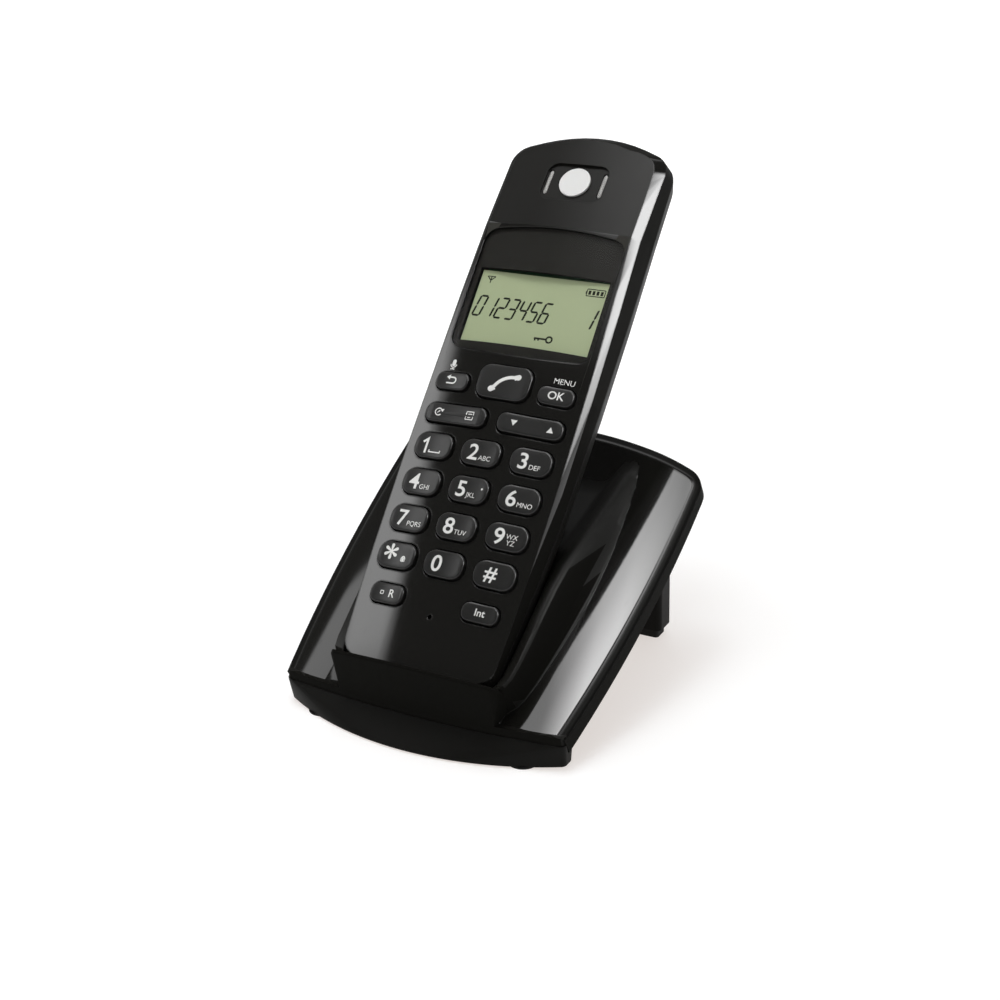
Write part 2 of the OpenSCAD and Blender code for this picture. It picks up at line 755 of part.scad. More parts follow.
// Section of the cradle's wall near the bottom end of the handset
module cradle_section(grow) {
  intersection() {
    offset(r = 2, $fn = 32) offset(delta = grow - 2) intersection() {
      translate([0, -face_crown_r]) circle(face_crown_r, $fn = 360);
      square([handset_w - 3.6, 40], center = true);
      polygon([[-21, 0.5], [21, 0.5], [24, -5], [24, -20], [-24, -20], [-24, -5]]);
    }
    translate([-40, -11]) square([80, 20]);
  }
}

// Plan of the base's front: a bow between the slab's front corners
module front_plan(bow, y, half_w, inset) {
  r = (half_w * half_w + bow * bow) / (2 * bow);
  offset(r = 1.6, $fn = 32) offset(delta = -1.6) intersection() {
    translate([0, r + y + inset]) circle(r, $fn = 360);
    translate([-half_w + inset, y - 1]) square([2 * (half_w - inset), 6 - y + 1]);
  }
}

// Front wall of the cradle, from its rim down to the lip
module collar(inset) {
  hull() {
    on_handset() translate([0, pocket_rise, 0]) rotate([90, 0, 0]) linear_extrude(1)
      cradle_section(cradle_gap + cradle_wall - inset);
    on_base() translate([0, 0, slab_front_z - lip_h + 0.4]) linear_extrude(lip_h - 0.8) intersection() {
      front_plan(lip_bow, -lip_bow, lip_half_w, inset + 0.3);
      square([2 * (handset_w / 2 - 1.4 - inset), 30], center = true);
    }
  }
}

module lip(inset) {
  on_base() translate([0, 0, slab_front_z - lip_h]) linear_extrude(lip_h - inset) intersection() {
    front_plan(lip_bow, -lip_bow, lip_half_w, inset);
    translate([-60, -20]) square([120, 22]);
  }
}

// The lower part of the docked handset grown on all sides, with room for the door's slide
module docked_room(grow) {
  on_handset() {
    intersection() {
      hull() {
        translate([0, 0, grow + 0.3]) plate(1, 30) intersection() {
          panel_outline(-1.2 * grow);
          translate([-60, -60]) square([120, 130]);
        }
        translate([0, 0, -bevel_depth]) plate(1, 30) docked_outline(grow, 0);
        for (a = concat([0], back_steps))
          translate([0, 0, -side_depth - (handset_t - side_depth + grow) * sin(a)])
            plate(0, 30) docked_outline(grow, 1 - cos(a));
      }
      translate([0, -20, -face_crown_r]) rotate([-90, 0, 0])
        cylinder(r = face_crown_r + grow, h = 100, $fn = 360);
    }
    rotate([90, 0, 90]) translate([0, 0, -door_half_w - gap - grow])
      linear_extrude(2 * (door_half_w + gap + grow)) polygon(concat(
        [for (a = [20:10:70]) [bottom_round * (1 - cos(a)) - door_travel - gap - grow,
          -side_depth - (handset_t - side_depth) * sin(a) - grow * sin(a)]],
        [[40, 1 - handset_t], [40, grow - door_end_z + gap],
          [-door_travel - gap - grow + 1.7, grow - door_end_z + gap]]));
  }
}

module docked_outline(grow, share) {
  intersection() {
    handset_outline((back_round + grow) * share - grow, (bottom_round + grow) * share - grow, 0);
    translate([-60, -60]) square([120, 130]);
  }
}

module contact_bores(r, y0, y1) {
  on_handset() for (x = [-1, 1]) translate([x * contact_x, y0, contact_z]) rotate([-90, 0, 0])
    cylinder(r = r, h = y1 - y0, $fn = 32);
}

module base_top_cover() {
  color(gloss_black) difference() {
    union() {
      on_slab() slab_solid(0);
      on_slab() shoulders(0);
      lip(0);
      collar(0);
    }
    difference() {
      union() {
        on_slab() slab_solid(base_wall);
        on_slab() shoulders(base_wall);
        collar(base_wall);
      }
      docked_room(cradle_gap + cradle_wall);
      contact_bores(contact_r + 1.3, boss_y, pad_y);
    }
    docked_room(cradle_gap);
    contact_bores(contact_r + gap, boss_y - 3, pad_y);
    contact_bores(pin_collar_r + gap, boss_y - 3, boss_y);
  }
}

// A spring pin with a collar that stops it under its boss
module charge_contact(x) {
  color(steel) on_handset() translate([x * contact_x, boss_y, contact_z]) rotate([-90, 0, 0]) {
    translate([0, 0, -0.8]) cylinder(r = contact_r, h = pad_y - boss_y + 0.8 - seat, $fn = 32);
    translate([0, 0, -0.8]) cylinder(r = pin_collar_r, h = 0.8 - seat, $fn = 32);
  }
}

module charge_contact_left() { charge_contact(-1); }
module charge_contact_right() { charge_contact(1); }

module apron(inset) {
  hull() on_base() {
    translate([0, 0, 0.5 + inset]) linear_extrude(0.5)
      front_plan(apron_bow, -apron_y, base_front_half_w - 0.5, 2.2 * inset);
    translate([0, 0, slab_front_z - lip_h - seam_gap - 0.5]) linear_extrude(0.5 + (inset > 0 ? 1 : 0))
      front_plan(lip_bow, -lip_bow, base_front_half_w, 1.3 * inset);
  }
}

// Housing under the slab: flat near the desk, then rising with the slab to a plain rear wall
module housing(inset) {
  rise_y = (pad_h - slab_front_z + housing_t / cos(slab_tilt)) / tan(slab_tilt);
  back = housing_y - inset;
  open = inset > 0 ? 0 : slab_t;
  on_base() rotate([90, 0, 90]) translate([0, 0, -housing_half_w + inset])
    linear_extrude(2 * (housing_half_w - inset)) polygon([[3, pad_h + inset], [rise_y, pad_h + inset],
      [back, slab_under(back, housing_t) + inset], [back, slab_under(back, open)],
      [3, slab_under(3, open)]]);
}

// Keeps the lower cover below the slab and behind the lip
module above_lower_cover(play) {
  on_slab() translate([-60, -play, -slab_t - play]) cube([120, 140, 60]);
}

module base_plate() {
  on_slab() translate([0, 0, -slab_t]) linear_extrude(base_wall) intersection() {
    slab_outline(base_wall + gap);
    translate([-60, base_wall + gap]) square([120, 120]);
  }
}

module leg_plan(inset) {
  on_base() for (s = [-1, 1]) translate([s * (leg_x - leg_w / 2), leg_y - leg_d / 2, 0])
    linear_extrude(70) rounded_rect(leg_w - 2 * inset, leg_d - 2 * inset, 1.6);
}

module base_bottom_cover() {
  color(satin_black) difference() {
    union() {
      difference() {
        union() {
          apron(0);
          housing(0);
        }
        above_lower_cover(seam_gap);
      }
      base_plate();
      intersection() {
        leg_plan(0);
        on_slab() translate([-60, -20, -90]) cube([120, 200, 90 - slab_t + 1]);
        translate([-60, -100, foot_h]) cube([120, 200, 90]);
      }
      base_screw_posts(3, pad_h + 0.5);
    }
    difference() {
      union() {
        apron(base_wall);
        housing(base_wall);
      }
      base_screw_posts(3, 0);
    }
    docked_room(cradle_gap + cradle_wall + seam_gap);
    base_screw_holes();
    rear_cuts();
  }
}

module base_screw_posts(r, z) {
  on_base() for (x = [-base_screw_x, base_screw_x]) translate([x, base_screw_y, z])
    cylinder(r = r, h = 6, $fn = 48);
}

module base_screw_holes() {
  on_base() for (x = [-base_screw_x, base_screw_x]) translate([x, base_screw_y, 0]) {
    cylinder(r = screw_r + 0.15, h = 20, $fn = 32);
    cylinder(r = screw_head_r + 0.4, h = 3.2, $fn = 32);
  }
}

module base_screws() {
  color(steel) on_base() for (x = [-base_screw_x, base_screw_x]) translate([x, base_screw_y, 0]) {
    translate([0, 0, 1.6]) cylinder(r = screw_head_r, h = 1.6 - seat, $fn = 48);
    translate([0, 0, 2]) cylinder(r = screw_r, h = 6, $fn = 48);
  }
}

module base_feet() {
  color([0.08, 0.08, 0.08]) on_base() for (s = [-1, 1]) {
    translate([s * (leg_x - leg_w / 2), leg_y - leg_d / 2, 0]) linear_extrude(foot_h - seat)
      rounded_rect(leg_w - 2.6, leg_d - 2.6, 1);
    translate([s * 30, 0, 0]) cylinder(r = 4, h = 0.5 - seat, $fn = 64);
  }
}

module rear_cuts() {
  on_base() {
    for (w = [[0, line_w], [page_x, power_w]]) translate([w[0] - w[1] / 2 - seam_gap,
      housing_y - 5, line_z - seam_gap]) cube([w[1] + 2 * seam_gap, 10, line_h + 2 * seam_gap]);
    translate([-page_x, housing_y - 5, line_z + line_h / 2]) rotate([-90, 0, 0])
      cylinder(r = page_r + gap, h = 10, $fn = 48);
  }
}

// A modular socket, with the step for the plug's latch along its top
module modular_socket(x, w) {
  color(satin_black) on_base() translate([x - w / 2, housing_y - 12, line_z]) difference() {
    cube([w, 12, line_h]);
    translate([1, 3, 1.4]) cube([w - 2, 10, 6.2]);
    translate([w / 2 - 3, 3, 7]) cube([6, 10, 2]);
  }
}

module line_socket() { modular_socket(0, line_w); }
module power_socket() { modular_socket(page_x, power_w); }

module page_button() {
  color(key_grey) on_base() translate([-page_x, housing_y + 0.8, line_z + line_h / 2])
    rotate([90, 0, 0]) {
      cylinder(r = page_r, h = base_wall + 0.8 + 1.4, $fn = 64);
      translate([0, 0, base_wall + 0.8 + 0.1]) cylinder(r = page_r + 0.9, h = 1.3, $fn = 64);
    }
}

module page_switch() {
  color(steel) on_base() translate([-page_x, housing_y - base_wall - 1.4 - page_travel - 0.1,
    line_z + line_h / 2]) rotate([90, 0, 0]) cylinder(r = 2.6, h = 4, $fn = 48);
}

module base_circuit_board() {
  color(board_green) on_slab() translate([-base_board_half_w, base_board_y,
    -housing_t + base_wall + seat]) cube([2 * base_board_half_w, base_board_l, board_t]);
}

base_top_cover();
base_bottom_cover();
base_feet();
base_circuit_board();
line_socket();
power_socket();
page_switch();
page_button();
charge_contact_left();
charge_contact_right();
base_screws();
handset_front_cover();
handset_rear_cover();
display_window();
lcd_panel();
lcd_frame();
keypad_mat();
handset_circuit_board();
earpiece_speaker();
earpiece_badge();
microphone();
ringer_speaker();
battery_cells();
battery_contacts();
battery_door();
handset_charge_pads();
handset_screws();
key_1();
key_2();
key_3();
key_4();
key_5();
key_6();
key_7();
key_8();
key_9();
key_star();
key_0();
key_hash();
key_talk();
key_back();
key_ok();
key_recall();
key_intercom();
key_list_rocker();
key_scroll_rocker();
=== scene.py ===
import json
import math

import bmesh
import bpy
from mathutils import Matrix, Vector


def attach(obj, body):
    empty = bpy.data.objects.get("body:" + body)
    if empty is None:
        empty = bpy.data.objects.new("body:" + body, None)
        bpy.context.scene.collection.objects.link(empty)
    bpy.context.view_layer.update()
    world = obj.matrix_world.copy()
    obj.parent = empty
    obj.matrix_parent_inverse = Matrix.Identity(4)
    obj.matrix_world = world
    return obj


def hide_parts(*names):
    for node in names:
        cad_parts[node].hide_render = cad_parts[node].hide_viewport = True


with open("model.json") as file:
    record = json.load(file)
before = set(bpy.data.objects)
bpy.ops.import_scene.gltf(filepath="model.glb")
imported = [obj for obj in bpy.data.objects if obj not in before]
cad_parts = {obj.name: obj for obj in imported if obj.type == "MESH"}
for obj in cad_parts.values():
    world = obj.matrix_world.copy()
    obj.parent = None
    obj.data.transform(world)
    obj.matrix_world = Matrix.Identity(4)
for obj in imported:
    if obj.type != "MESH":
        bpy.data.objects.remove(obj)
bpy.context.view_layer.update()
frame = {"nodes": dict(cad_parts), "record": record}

# ---------- sizes shared with the solids, in mm ----------

MM = 0.001

# The handset as it stands docked: its foot, the way up along it, the way out of its face, the
# radius and levels of its face, and the crease above the window where the brow leans back.
RECLINE = math.radians(48.0)
HANDSET_FOOT = Vector((0.0, -55.866, 18.25))
V_AXIS = Vector((0.0, math.cos(RECLINE), math.sin(RECLINE)))
N_AXIS = Vector((0.0, -math.sin(RECLINE), math.cos(RECLINE)))
HANDSET_DEPTH = 21.5
CROWN_R = 165.0
SCREEN_LEVEL = -3.056
CREASE_UP = 129.5
CREASE_LEAN = math.radians(5.5)
EARPIECE_UP = 144.2

# The base's slab: the middle of its front edge, its slope, and the bows of its outline and wings.
SLAB_TILT = math.radians(29.0)
SLAB_FRONT = Vector((0.0, -50.566, 9.2))
SLAB_NORMAL = Vector((0.0, -math.sin(SLAB_TILT), math.cos(SLAB_TILT)))
SLAB_HALF_W = 46.4
SLAB_WIDE_UP = 66.0
SLAB_LENGTH = 96.5
SIDE_BOW_R = 446.9
REAR_BOW_R = 125.0
WING_START = 29.0
WING_R = 80.0


def on_handset(x, y, n):
    """A point of the docked handset: across, up from its foot and out of its face, in mm."""
    return (HANDSET_FOOT + Vector((x, 0.0, 0.0)) + V_AXIS * y + N_AXIS * n) * MM


def in_handset(point):
    """How far a point lies up the handset and out of its face, in mm."""
    away = point / MM - HANDSET_FOOT
    return away.dot(V_AXIS), away.dot(N_AXIS)


def crown_drop(x):
    """How far the crowned face lies below its own middle line."""
    return CROWN_R - math.sqrt(CROWN_R * CROWN_R - x * x)


def above_slab(point):
    """How far a point lies above the base's sloping top, in mm."""
    return (point / MM - SLAB_FRONT).dot(SLAB_NORMAL)


def wing_drop(x):
    """How far the slab's top lies below its flat middle, x mm from the middle line."""
    beyond = max(abs(x) - WING_START, 0.0)
    return WING_R - math.sqrt(WING_R * WING_R - beyond * beyond)


# ---------- camera: to the right of the phone's front and a little above it ----------

CAMERA_YAW = math.radians(29.35)
CAMERA_PITCH = math.radians(22.85)
CAMERA_ROLL = math.radians(-1.74)
CAMERA_TARGET = Vector((0.0, -14.066, 64.7))
CAMERA_SHIFT = (-4.77, -12.04)
CAMERA_REACH = 449.56
LENS = 62.125
SENSOR_WIDTH = 36.0
NEAREST = 0.01


def make_camera():
    ahead = Vector((-math.sin(CAMERA_YAW) * math.cos(CAMERA_PITCH),
                    math.cos(CAMERA_YAW) * math.cos(CAMERA_PITCH), -math.sin(CAMERA_PITCH)))
    level = Vector((math.cos(CAMERA_YAW), math.sin(CAMERA_YAW), 0.0))
    plumb = ahead.cross(level)
    right = level * math.cos(CAMERA_ROLL) - plumb * math.sin(CAMERA_ROLL)
    down = level * math.sin(CAMERA_ROLL) + plumb * math.cos(CAMERA_ROLL)
    place = CAMERA_TARGET - (right * CAMERA_SHIFT[0] + down * CAMERA_SHIFT[1]
                             + ahead * CAMERA_REACH)
    data = bpy.data.cameras.new("camera")
    data.sensor_width = SENSOR_WIDTH
    data.lens = LENS
    data.clip_start = NEAREST
    camera = bpy.data.objects.new("camera", data)
    turn = Matrix((right, -down, -ahead)).transposed().to_4x4()
    camera.matrix_world = Matrix.Translation(place * MM) @ turn
    bpy.context.collection.objects.link(camera)
    bpy.context.scene.camera = camera


make_camera()


# ---------- shader nodes ----------

def calculate(tree, operation, first, second=None, third=None):
    """One maths node; each argument is a socket or a number."""
    node = tree.nodes.new("ShaderNodeMath")
    node.operation = operation
    for place, value in enumerate((first, second, third)):
        if value is None:
            continue
        if isinstance(value, (int, float)):
            node.inputs[place].default_value = value
        else:
            tree.links.new(value, node.inputs[place])
    return node.outputs[0]


def remap(tree, value, low, high, to_low, to_high):
    """A value's run from low to high, stretched to run from to_low to to_high and held there."""
    node = tree.nodes.new("ShaderNodeMapRange")
    node.inputs["From Min"].default_value = low
    node.inputs["From Max"].default_value = high
    node.inputs["To Min"].default_value = to_low
    node.inputs["To Max"].default_value = to_high
    tree.links.new(value, node.inputs["Value"])
    return node.outputs["Result"]


def noise(tree, vector, scale, detail=2.0, roughness=0.5):
    """Cloudy noise from 0 to 1."""
    node = tree.nodes.new("ShaderNodeTexNoise")
    node.inputs["Scale"].default_value = scale
    node.inputs["Detail"].default_value = detail
    node.inputs["Roughness"].default_value = roughness
    tree.links.new(vector, node.inputs["Vector"])
    return node.outputs["Fac"]


def object_place(tree):
    """Where a point lies in its own object, in metres."""
    return tree.nodes.new("ShaderNodeTexCoord").outputs["Object"]


def split_axes(tree, vector):
    """A vector's X, Y and Z outputs."""
    node = tree.nodes.new("ShaderNodeSeparateXYZ")
    tree.links.new(vector, node.inputs[0])
    return node.outputs


def mix_colour(tree, mask, first, second):
    """The first colour where the mask is 0, the second where it is 1."""
    node = tree.nodes.new("ShaderNodeMix")
    node.data_type = "RGBA"
    node.inputs["A"].default_value = (*first, 1.0)
    node.inputs["B"].default_value = (*second, 1.0)
    tree.links.new(mask, node.inputs["Factor"])
    return node.outputs["Result"]


def relief(tree, height, depth, strength=1.0, under=None):
    """The normal of a surface with a relief, depth metres deep, laid over the normal under it."""
    node = tree.nodes.new("ShaderNodeBump")
    node.inputs["Strength"].default_value = strength
    node.inputs["Distance"].default_value = depth
    tree.links.new(height, node.inputs["Height"])
    if under is not None:
        tree.links.new(under, node.inputs["Normal"])
    return node.outputs["Normal"]


# ---------- shader node groups: the grain and the wear that most finishes share ----------

GRAIN_SCALE = 9000.0


def new_group(name, inputs, outputs):
    """An empty node group with its named sockets; returns the tree and its two end nodes."""
    tree = bpy.data.node_groups.new(name, "ShaderNodeTree")
    for label, value in inputs:
        socket = tree.interface.new_socket(label, in_out="INPUT", socket_type="NodeSocketFloat")
        socket.default_value = value
    for label in outputs:
        tree.interface.new_socket(label, in_out="OUTPUT", socket_type="NodeSocketFloat")
    return tree, tree.nodes.new("NodeGroupInput"), tree.nodes.new("NodeGroupOutput")


def build_mould_grain():
    """Fine spark-eroded grain of a moulded surface: its height, and the uneven sheen it brings."""
    tree, given, result = new_group(
        "mould_grain", [("Scale", GRAIN_SCALE), ("Unevenness", 0.06)], ["Height", "Sheen"])
    place = object_place(tree)
    fine = noise(tree, place, GRAIN_SCALE, 3.0, 0.6)
    tree.links.new(given.outputs["Scale"], fine.node.inputs["Scale"])
    broad = noise(tree, place, 140.0)
    uneven = calculate(tree, "MULTIPLY", calculate(tree, "SUBTRACT", broad, 0.5),
                       given.outputs["Unevenness"])
    tree.links.new(fine, result.inputs["Height"])
    tree.links.new(uneven, result.inputs["Sheen"])
    return tree


def build_handling():
    """Marks of use: hairline scratches, smears that dull the gloss, and sparse specks of dust."""
    tree, given, result = new_group(
        "handling", [("Scratches", 0.05), ("Smears", 0.04), ("Dust", 0.3)], ["Dulling", "Specks"])
    place = object_place(tree)
    stretch = tree.nodes.new("ShaderNodeMapping")
    stretch.inputs["Rotation"].default_value = (0.3, 0.2, 0.7)
    stretch.inputs["Scale"].default_value = (2600.0, 60.0, 500.0)
    tree.links.new(place, stretch.inputs["Vector"])
    hairs = remap(tree, noise(tree, stretch.outputs["Vector"], 1.0), 0.67, 0.72, 0.0, 1.0)
    smears = remap(tree, noise(tree, place, 55.0, 4.0, 0.65), 0.45, 0.75, 0.0, 1.0)
    dulling = calculate(tree, "ADD",
                        calculate(tree, "MULTIPLY", hairs, given.outputs["Scratches"]),
                        calculate(tree, "MULTIPLY", smears, given.outputs["Smears"]))
    motes = tree.nodes.new("ShaderNodeTexVoronoi")
    motes.inputs["Scale"].default_value = 420.0
    tree.links.new(place, motes.inputs["Vector"])
    sparse = remap(tree, noise(tree, place, 90.0), 0.6, 0.7, 0.0, 1.0)
    dots = remap(tree, motes.outputs["Distance"], 0.02, 0.05, 1.0, 0.0)
    specks = calculate(tree, "MULTIPLY", calculate(tree, "MULTIPLY", dots, sparse),
                       given.outputs["Dust"])
    tree.links.new(dulling, result.inputs["Dulling"])
    tree.links.new(specks, result.inputs["Specks"])
    return tree


MOULD_GRAIN = build_mould_grain()
HANDLING = build_handling()


def place_group(tree, group, **values):
    """A shared group set into a material with its own values."""
    node = tree.nodes.new("ShaderNodeGroup")
    node.node_tree = group
    for label, value in values.items():
        node.inputs[label].default_value = value
    return node


# ---------- finishes ----------

GRAIN_RELIEF = 0.02
BEVEL_SAMPLES = 4
DUST_GREY = (0.25, 0.24, 0.22)

# The slab's rim: how wide it rolls over, how far round the roll goes as a share of that, how softly
# side and rear meet, where along the roll the gloss gives way to satin, and how satin that is.
RIM_ROLL = 3.0
RIM_REACH = 0.95
RIM_MEETING = 4.0
RIM_SATIN = (0.5, 0.85)
RIM_DULLING = 0.4
RIM_SPECULAR = 0.04


def new_material(name, colour, roughness, specular=0.5, metallic=0.0):
    """A material with plain values; returns it with its node tree and its shader."""
    material = bpy.data.materials.new(name)
    material.use_nodes = True
    shader = material.node_tree.nodes["Principled BSDF"]
    shader.inputs["Base Color"].default_value = (*colour, 1.0)
    shader.inputs["Roughness"].default_value = roughness
    shader.inputs["Specular IOR Level"].default_value = specular
    shader.inputs["Metallic"].default_value = metallic
    return material, material.node_tree, shader


def finish(name, colour, roughness, specular=0.5, metallic=0.0, dust=DUST_GREY,
           grain_depth=0.0, unevenness=0.05, scratches=0.04, smears=0.03, specks=0.3,
           edge=0.0, rim=None):
    """A moulded or plated finish: its colour with specks of dust, its sheen with wear, its grain as
    bump. Edges look rounded by edge mm; rim gives the height and the satin mask of a rolled rim."""
    material, tree, shader = new_material(name, colour, roughness, specular, metallic)
    grain = place_group(tree, MOULD_GRAIN, Scale=GRAIN_SCALE, Unevenness=unevenness)
    marks = place_group(tree, HANDLING, Scratches=scratches, Smears=smears, Dust=specks)
    tree.links.new(mix_colour(tree, marks.outputs["Specks"], colour, dust),
                   shader.inputs["Base Color"])
    sheen = calculate(tree, "ADD", grain.outputs["Sheen"], marks.outputs["Dulling"])
    normal = None
    if edge:
        rounded = tree.nodes.new("ShaderNodeBevel")
        rounded.samples = BEVEL_SAMPLES
        rounded.inputs["Radius"].default_value = edge * MM
        normal = rounded.outputs["Normal"]
    if rim:
        height, satin = rim(tree)
        sheen = calculate(tree, "MULTIPLY_ADD", satin, RIM_DULLING, sheen)
        tree.links.new(calculate(tree, "MULTIPLY_ADD", satin, RIM_SPECULAR - specular, specular),
                       shader.inputs["Specular IOR Level"])
        normal = relief(tree, height, 1.0, under=normal)
    if grain_depth:
        normal = relief(tree, grain.outputs["Height"], GRAIN_RELIEF * MM, grain_depth, normal)
    if normal is not None:
        tree.links.new(normal, shader.inputs["Normal"])
    tree.links.new(calculate(tree, "ADD", sheen, roughness), shader.inputs["Roughness"])
    return material


def inside_bow(tree, x, middle_x, y, middle_y, radius):
    """How far a place lies inside a bow of the outline, in metres; the bow's sizes are in mm."""
    place = tree.nodes.new("ShaderNodeCombineXYZ")
    tree.links.new(calculate(tree, "SUBTRACT", x, middle_x * MM), place.inputs["X"])
    tree.links.new(calculate(tree, "SUBTRACT", y, middle_y * MM), place.inputs["Y"])
    away = tree.nodes.new("ShaderNodeVectorMath")
    away.operation = "LENGTH"
    tree.links.new(place.outputs[0], away.inputs[0])
    return calculate(tree, "SUBTRACT", radius * MM, away.outputs["Value"])


def rolled_rim(tree):
    """The slab's top where it rolls over towards its outline: its height in metres, and a mask
    that is 1 on the rim, which is left satin."""
    axes = split_axes(tree, object_place(tree))
    back = calculate(tree, "SUBTRACT", axes["Y"], SLAB_FRONT.y * MM)
    up = calculate(tree, "SUBTRACT", axes["Z"], SLAB_FRONT.z * MM)
    along = calculate(tree, "ADD", calculate(tree, "MULTIPLY", back, math.cos(SLAB_TILT)),
                      calculate(tree, "MULTIPLY", up, math.sin(SLAB_TILT)))
    side = inside_bow(tree, calculate(tree, "ABSOLUTE", axes["X"]), SLAB_HALF_W - SIDE_BOW_R,
                      along, SLAB_WIDE_UP, SIDE_BOW_R)
    rear = inside_bow(tree, axes["X"], 0.0, along, SLAB_LENGTH - REAR_BOW_R, REAR_BOW_R)
    nearest = calculate(tree, "SMOOTH_MIN", side, rear, RIM_MEETING * MM)
    short = calculate(tree, "MAXIMUM", calculate(tree, "SUBTRACT", RIM_ROLL * MM, nearest), 0.0)
    short = calculate(tree, "MINIMUM", short, RIM_REACH * RIM_ROLL * MM)
    squared = calculate(tree, "MULTIPLY", short, short)
    level = calculate(tree, "SQRT", calculate(tree, "SUBTRACT", (RIM_ROLL * MM) ** 2, squared))
    satin_from, satin_to = (share * RIM_ROLL * MM for share in RIM_SATIN)
    return level, remap(tree, nearest, satin_from, satin_to, 1.0, 0.0)


def screen_finish():
    """The reflective screen: grey-green with a faint cloud of its cells, and a little painted glow.
    """
    material, tree, shader = new_material("screen", (0.56, 0.645, 0.385), 0.45, 0.3)
    # Painted light: the screen has no lamp of its own, but it is given a faint glow.
    shader.inputs["Emission Color"].default_value = (0.6, 0.69, 0.41, 1.0)
    shader.inputs["Emission Strength"].default_value = 0.12
    cells = noise(tree, object_place(tree), 2500.0)
    tree.links.new(mix_colour(tree, cells, (0.55, 0.635, 0.375), (0.575, 0.66, 0.4)),
                   shader.inputs["Base Color"])
    return material


def window_finish():
    """Smoked clear window: lets the screen through and keeps a polished front."""
    material, tree, shader = new_material("smoked_window", (0.004, 0.004, 0.0042), 0.05)
    shader.inputs["Alpha"].default_value = 0.14
    marks = place_group(tree, HANDLING, Scratches=0.05, Smears=0.02, Dust=0.0)
    tree.links.new(calculate(tree, "ADD", marks.outputs["Dulling"], 0.045),
                   shader.inputs["Roughness"])
    return material


def board_finish():
    """Solder mask with the faint relief and lighter green of the copper tracks under it."""
    material, tree, shader = new_material("solder_mask", (0.02, 0.12, 0.05), 0.35)
    tracks = tree.nodes.new("ShaderNodeTexBrick")
    tracks.inputs["Scale"].default_value = 420.0
    tracks.inputs["Color1"].default_value = (0.02, 0.13, 0.055, 1.0)
    tracks.inputs["Color2"].default_value = (0.015, 0.1, 0.04, 1.0)
    tracks.inputs["Mortar"].default_value = (0.05, 0.2, 0.08, 1.0)
    tree.links.new(object_place(tree), tracks.inputs["Vector"])
    tree.links.new(tracks.outputs["Color"], shader.inputs["Base Color"])
    tree.links.new(relief(tree, tracks.outputs["Fac"], 0.03 * MM, 0.3), shader.inputs["Normal"])
    return material


def speaker_mesh_finish():
    """Bright woven mesh behind the sound slots: light wires, and openings painted dark for the
    black inside and its shade.
    """
    material, tree, shader = new_material("speaker_mesh", (0.3, 0.3, 0.29), 0.35)
    weave = tree.nodes.new("ShaderNodeTexVoronoi")
    weave.inputs["Scale"].default_value = 2600.0
    weave.inputs["Randomness"].default_value = 0.1
    tree.links.new(object_place(tree), weave.inputs["Vector"])
    wires = remap(tree, weave.outputs["Distance"], 0.25, 0.4, 0.0, 1.0)
    # The dark openings stand for the black inside seen through holes, and partly for painted shade.
    tree.links.new(mix_colour(tree, wires, (0.12, 0.12, 0.115), (0.36, 0.355, 0.34)),
                   shader.inputs["Base Color"])
    tree.links.new(relief(tree, wires, 0.05 * MM, 0.6), shader.inputs["Normal"])
    return material


PIANO_BLACK = (0.0078, 0.0075, 0.0064)
DEEP_BLACK = (0.0085, 0.0082, 0.007)
POLISH = {"roughness": 0.07, "unevenness": 0.02, "scratches": 0.06, "smears": 0.015, "specks": 0.12}

GLOSS_BLACK = finish("gloss_black", PIANO_BLACK, **POLISH, edge=0.6)
FLANK_BLACK = finish("flank_black", DEEP_BLACK, 0.5, 0.015, grain_depth=0.12, specks=0.05, edge=0.3)
SHOULDER_BLACK = finish("shoulder_black", (0.0095, 0.0092, 0.0078), 0.42, 0.12, unevenness=0.03,
                        specks=0.1, edge=0.3)
SLAB_BLACK = finish("slab_black", PIANO_BLACK, **POLISH, edge=0.2, rim=rolled_rim)
SATIN_BLACK = finish("satin_black", (0.0095, 0.0092, 0.0082), 0.45, 0.06, grain_depth=0.35,
                     specks=0.08, edge=0.3)
# A little lighter than the satin sides of the same cover: painted light that lifts the back.
BACK_BLACK = finish("back_black", (0.012, 0.0118, 0.011), 0.36, 0.4, grain_depth=0.35, specks=0.08,
                    edge=0.3)
BROW_BLACK = finish("brow_black", DEEP_BLACK, 0.31, 0.11, grain_depth=0.1, specks=0.05, edge=0.3)
MASK_GREY = finish("mask_grey", (0.036, 0.035, 0.031), 0.6, 0.04, specks=0.0)
KEY_BLACK = finish("key_black", (0.0125, 0.0122, 0.0115), 0.3, 0.45, grain_depth=0.1, specks=0.05)
PRINT_WHITE = finish("print_white", (0.76, 0.76, 0.74), 0.5, 0.3, specks=0.0, grain_depth=0.2)
SEGMENT_DARK = finish("segment_dark", (0.03, 0.034, 0.024), 0.5, 0.1, specks=0.0)
SPEAKER_MESH = speaker_mesh_finish()
SLOT_FINISHES = {
    "gloss_shell": GLOSS_BLACK,
    "satin_shell": SATIN_BLACK,
    "foot_rubber": finish("foot_rubber", (0.012, 0.012, 0.011), 0.75, 0.2, grain_depth=0.5),
    "circuit_board": board_finish(),
    "socket_plastic": finish("socket_black", (0.014, 0.014, 0.013), 0.5, 0.3, grain_depth=0.3),
    "metal": finish("nickel", (0.62, 0.61, 0.58), 0.22, metallic=1.0, grain_depth=0.2,
                    scratches=0.12),
    "window": window_finish(),
    "lcd": screen_finish(),
    "frame_plastic": finish("light_guide", (0.7, 0.7, 0.66), 0.5, specks=0.1),
    "key_mat": finish("key_mat", (0.05, 0.05, 0.055), 0.7, 0.3, grain_depth=0.4),
    "disc": finish("silver_disc", (0.68, 0.68, 0.67), 0.34, dust=(0.5, 0.5, 0.49),
                   grain_depth=0.25, specks=0.1),
    "cell": finish("cell_wrap", (0.04, 0.12, 0.35), 0.35, scratches=0.1),
    "key_plastic": KEY_BLACK,
}

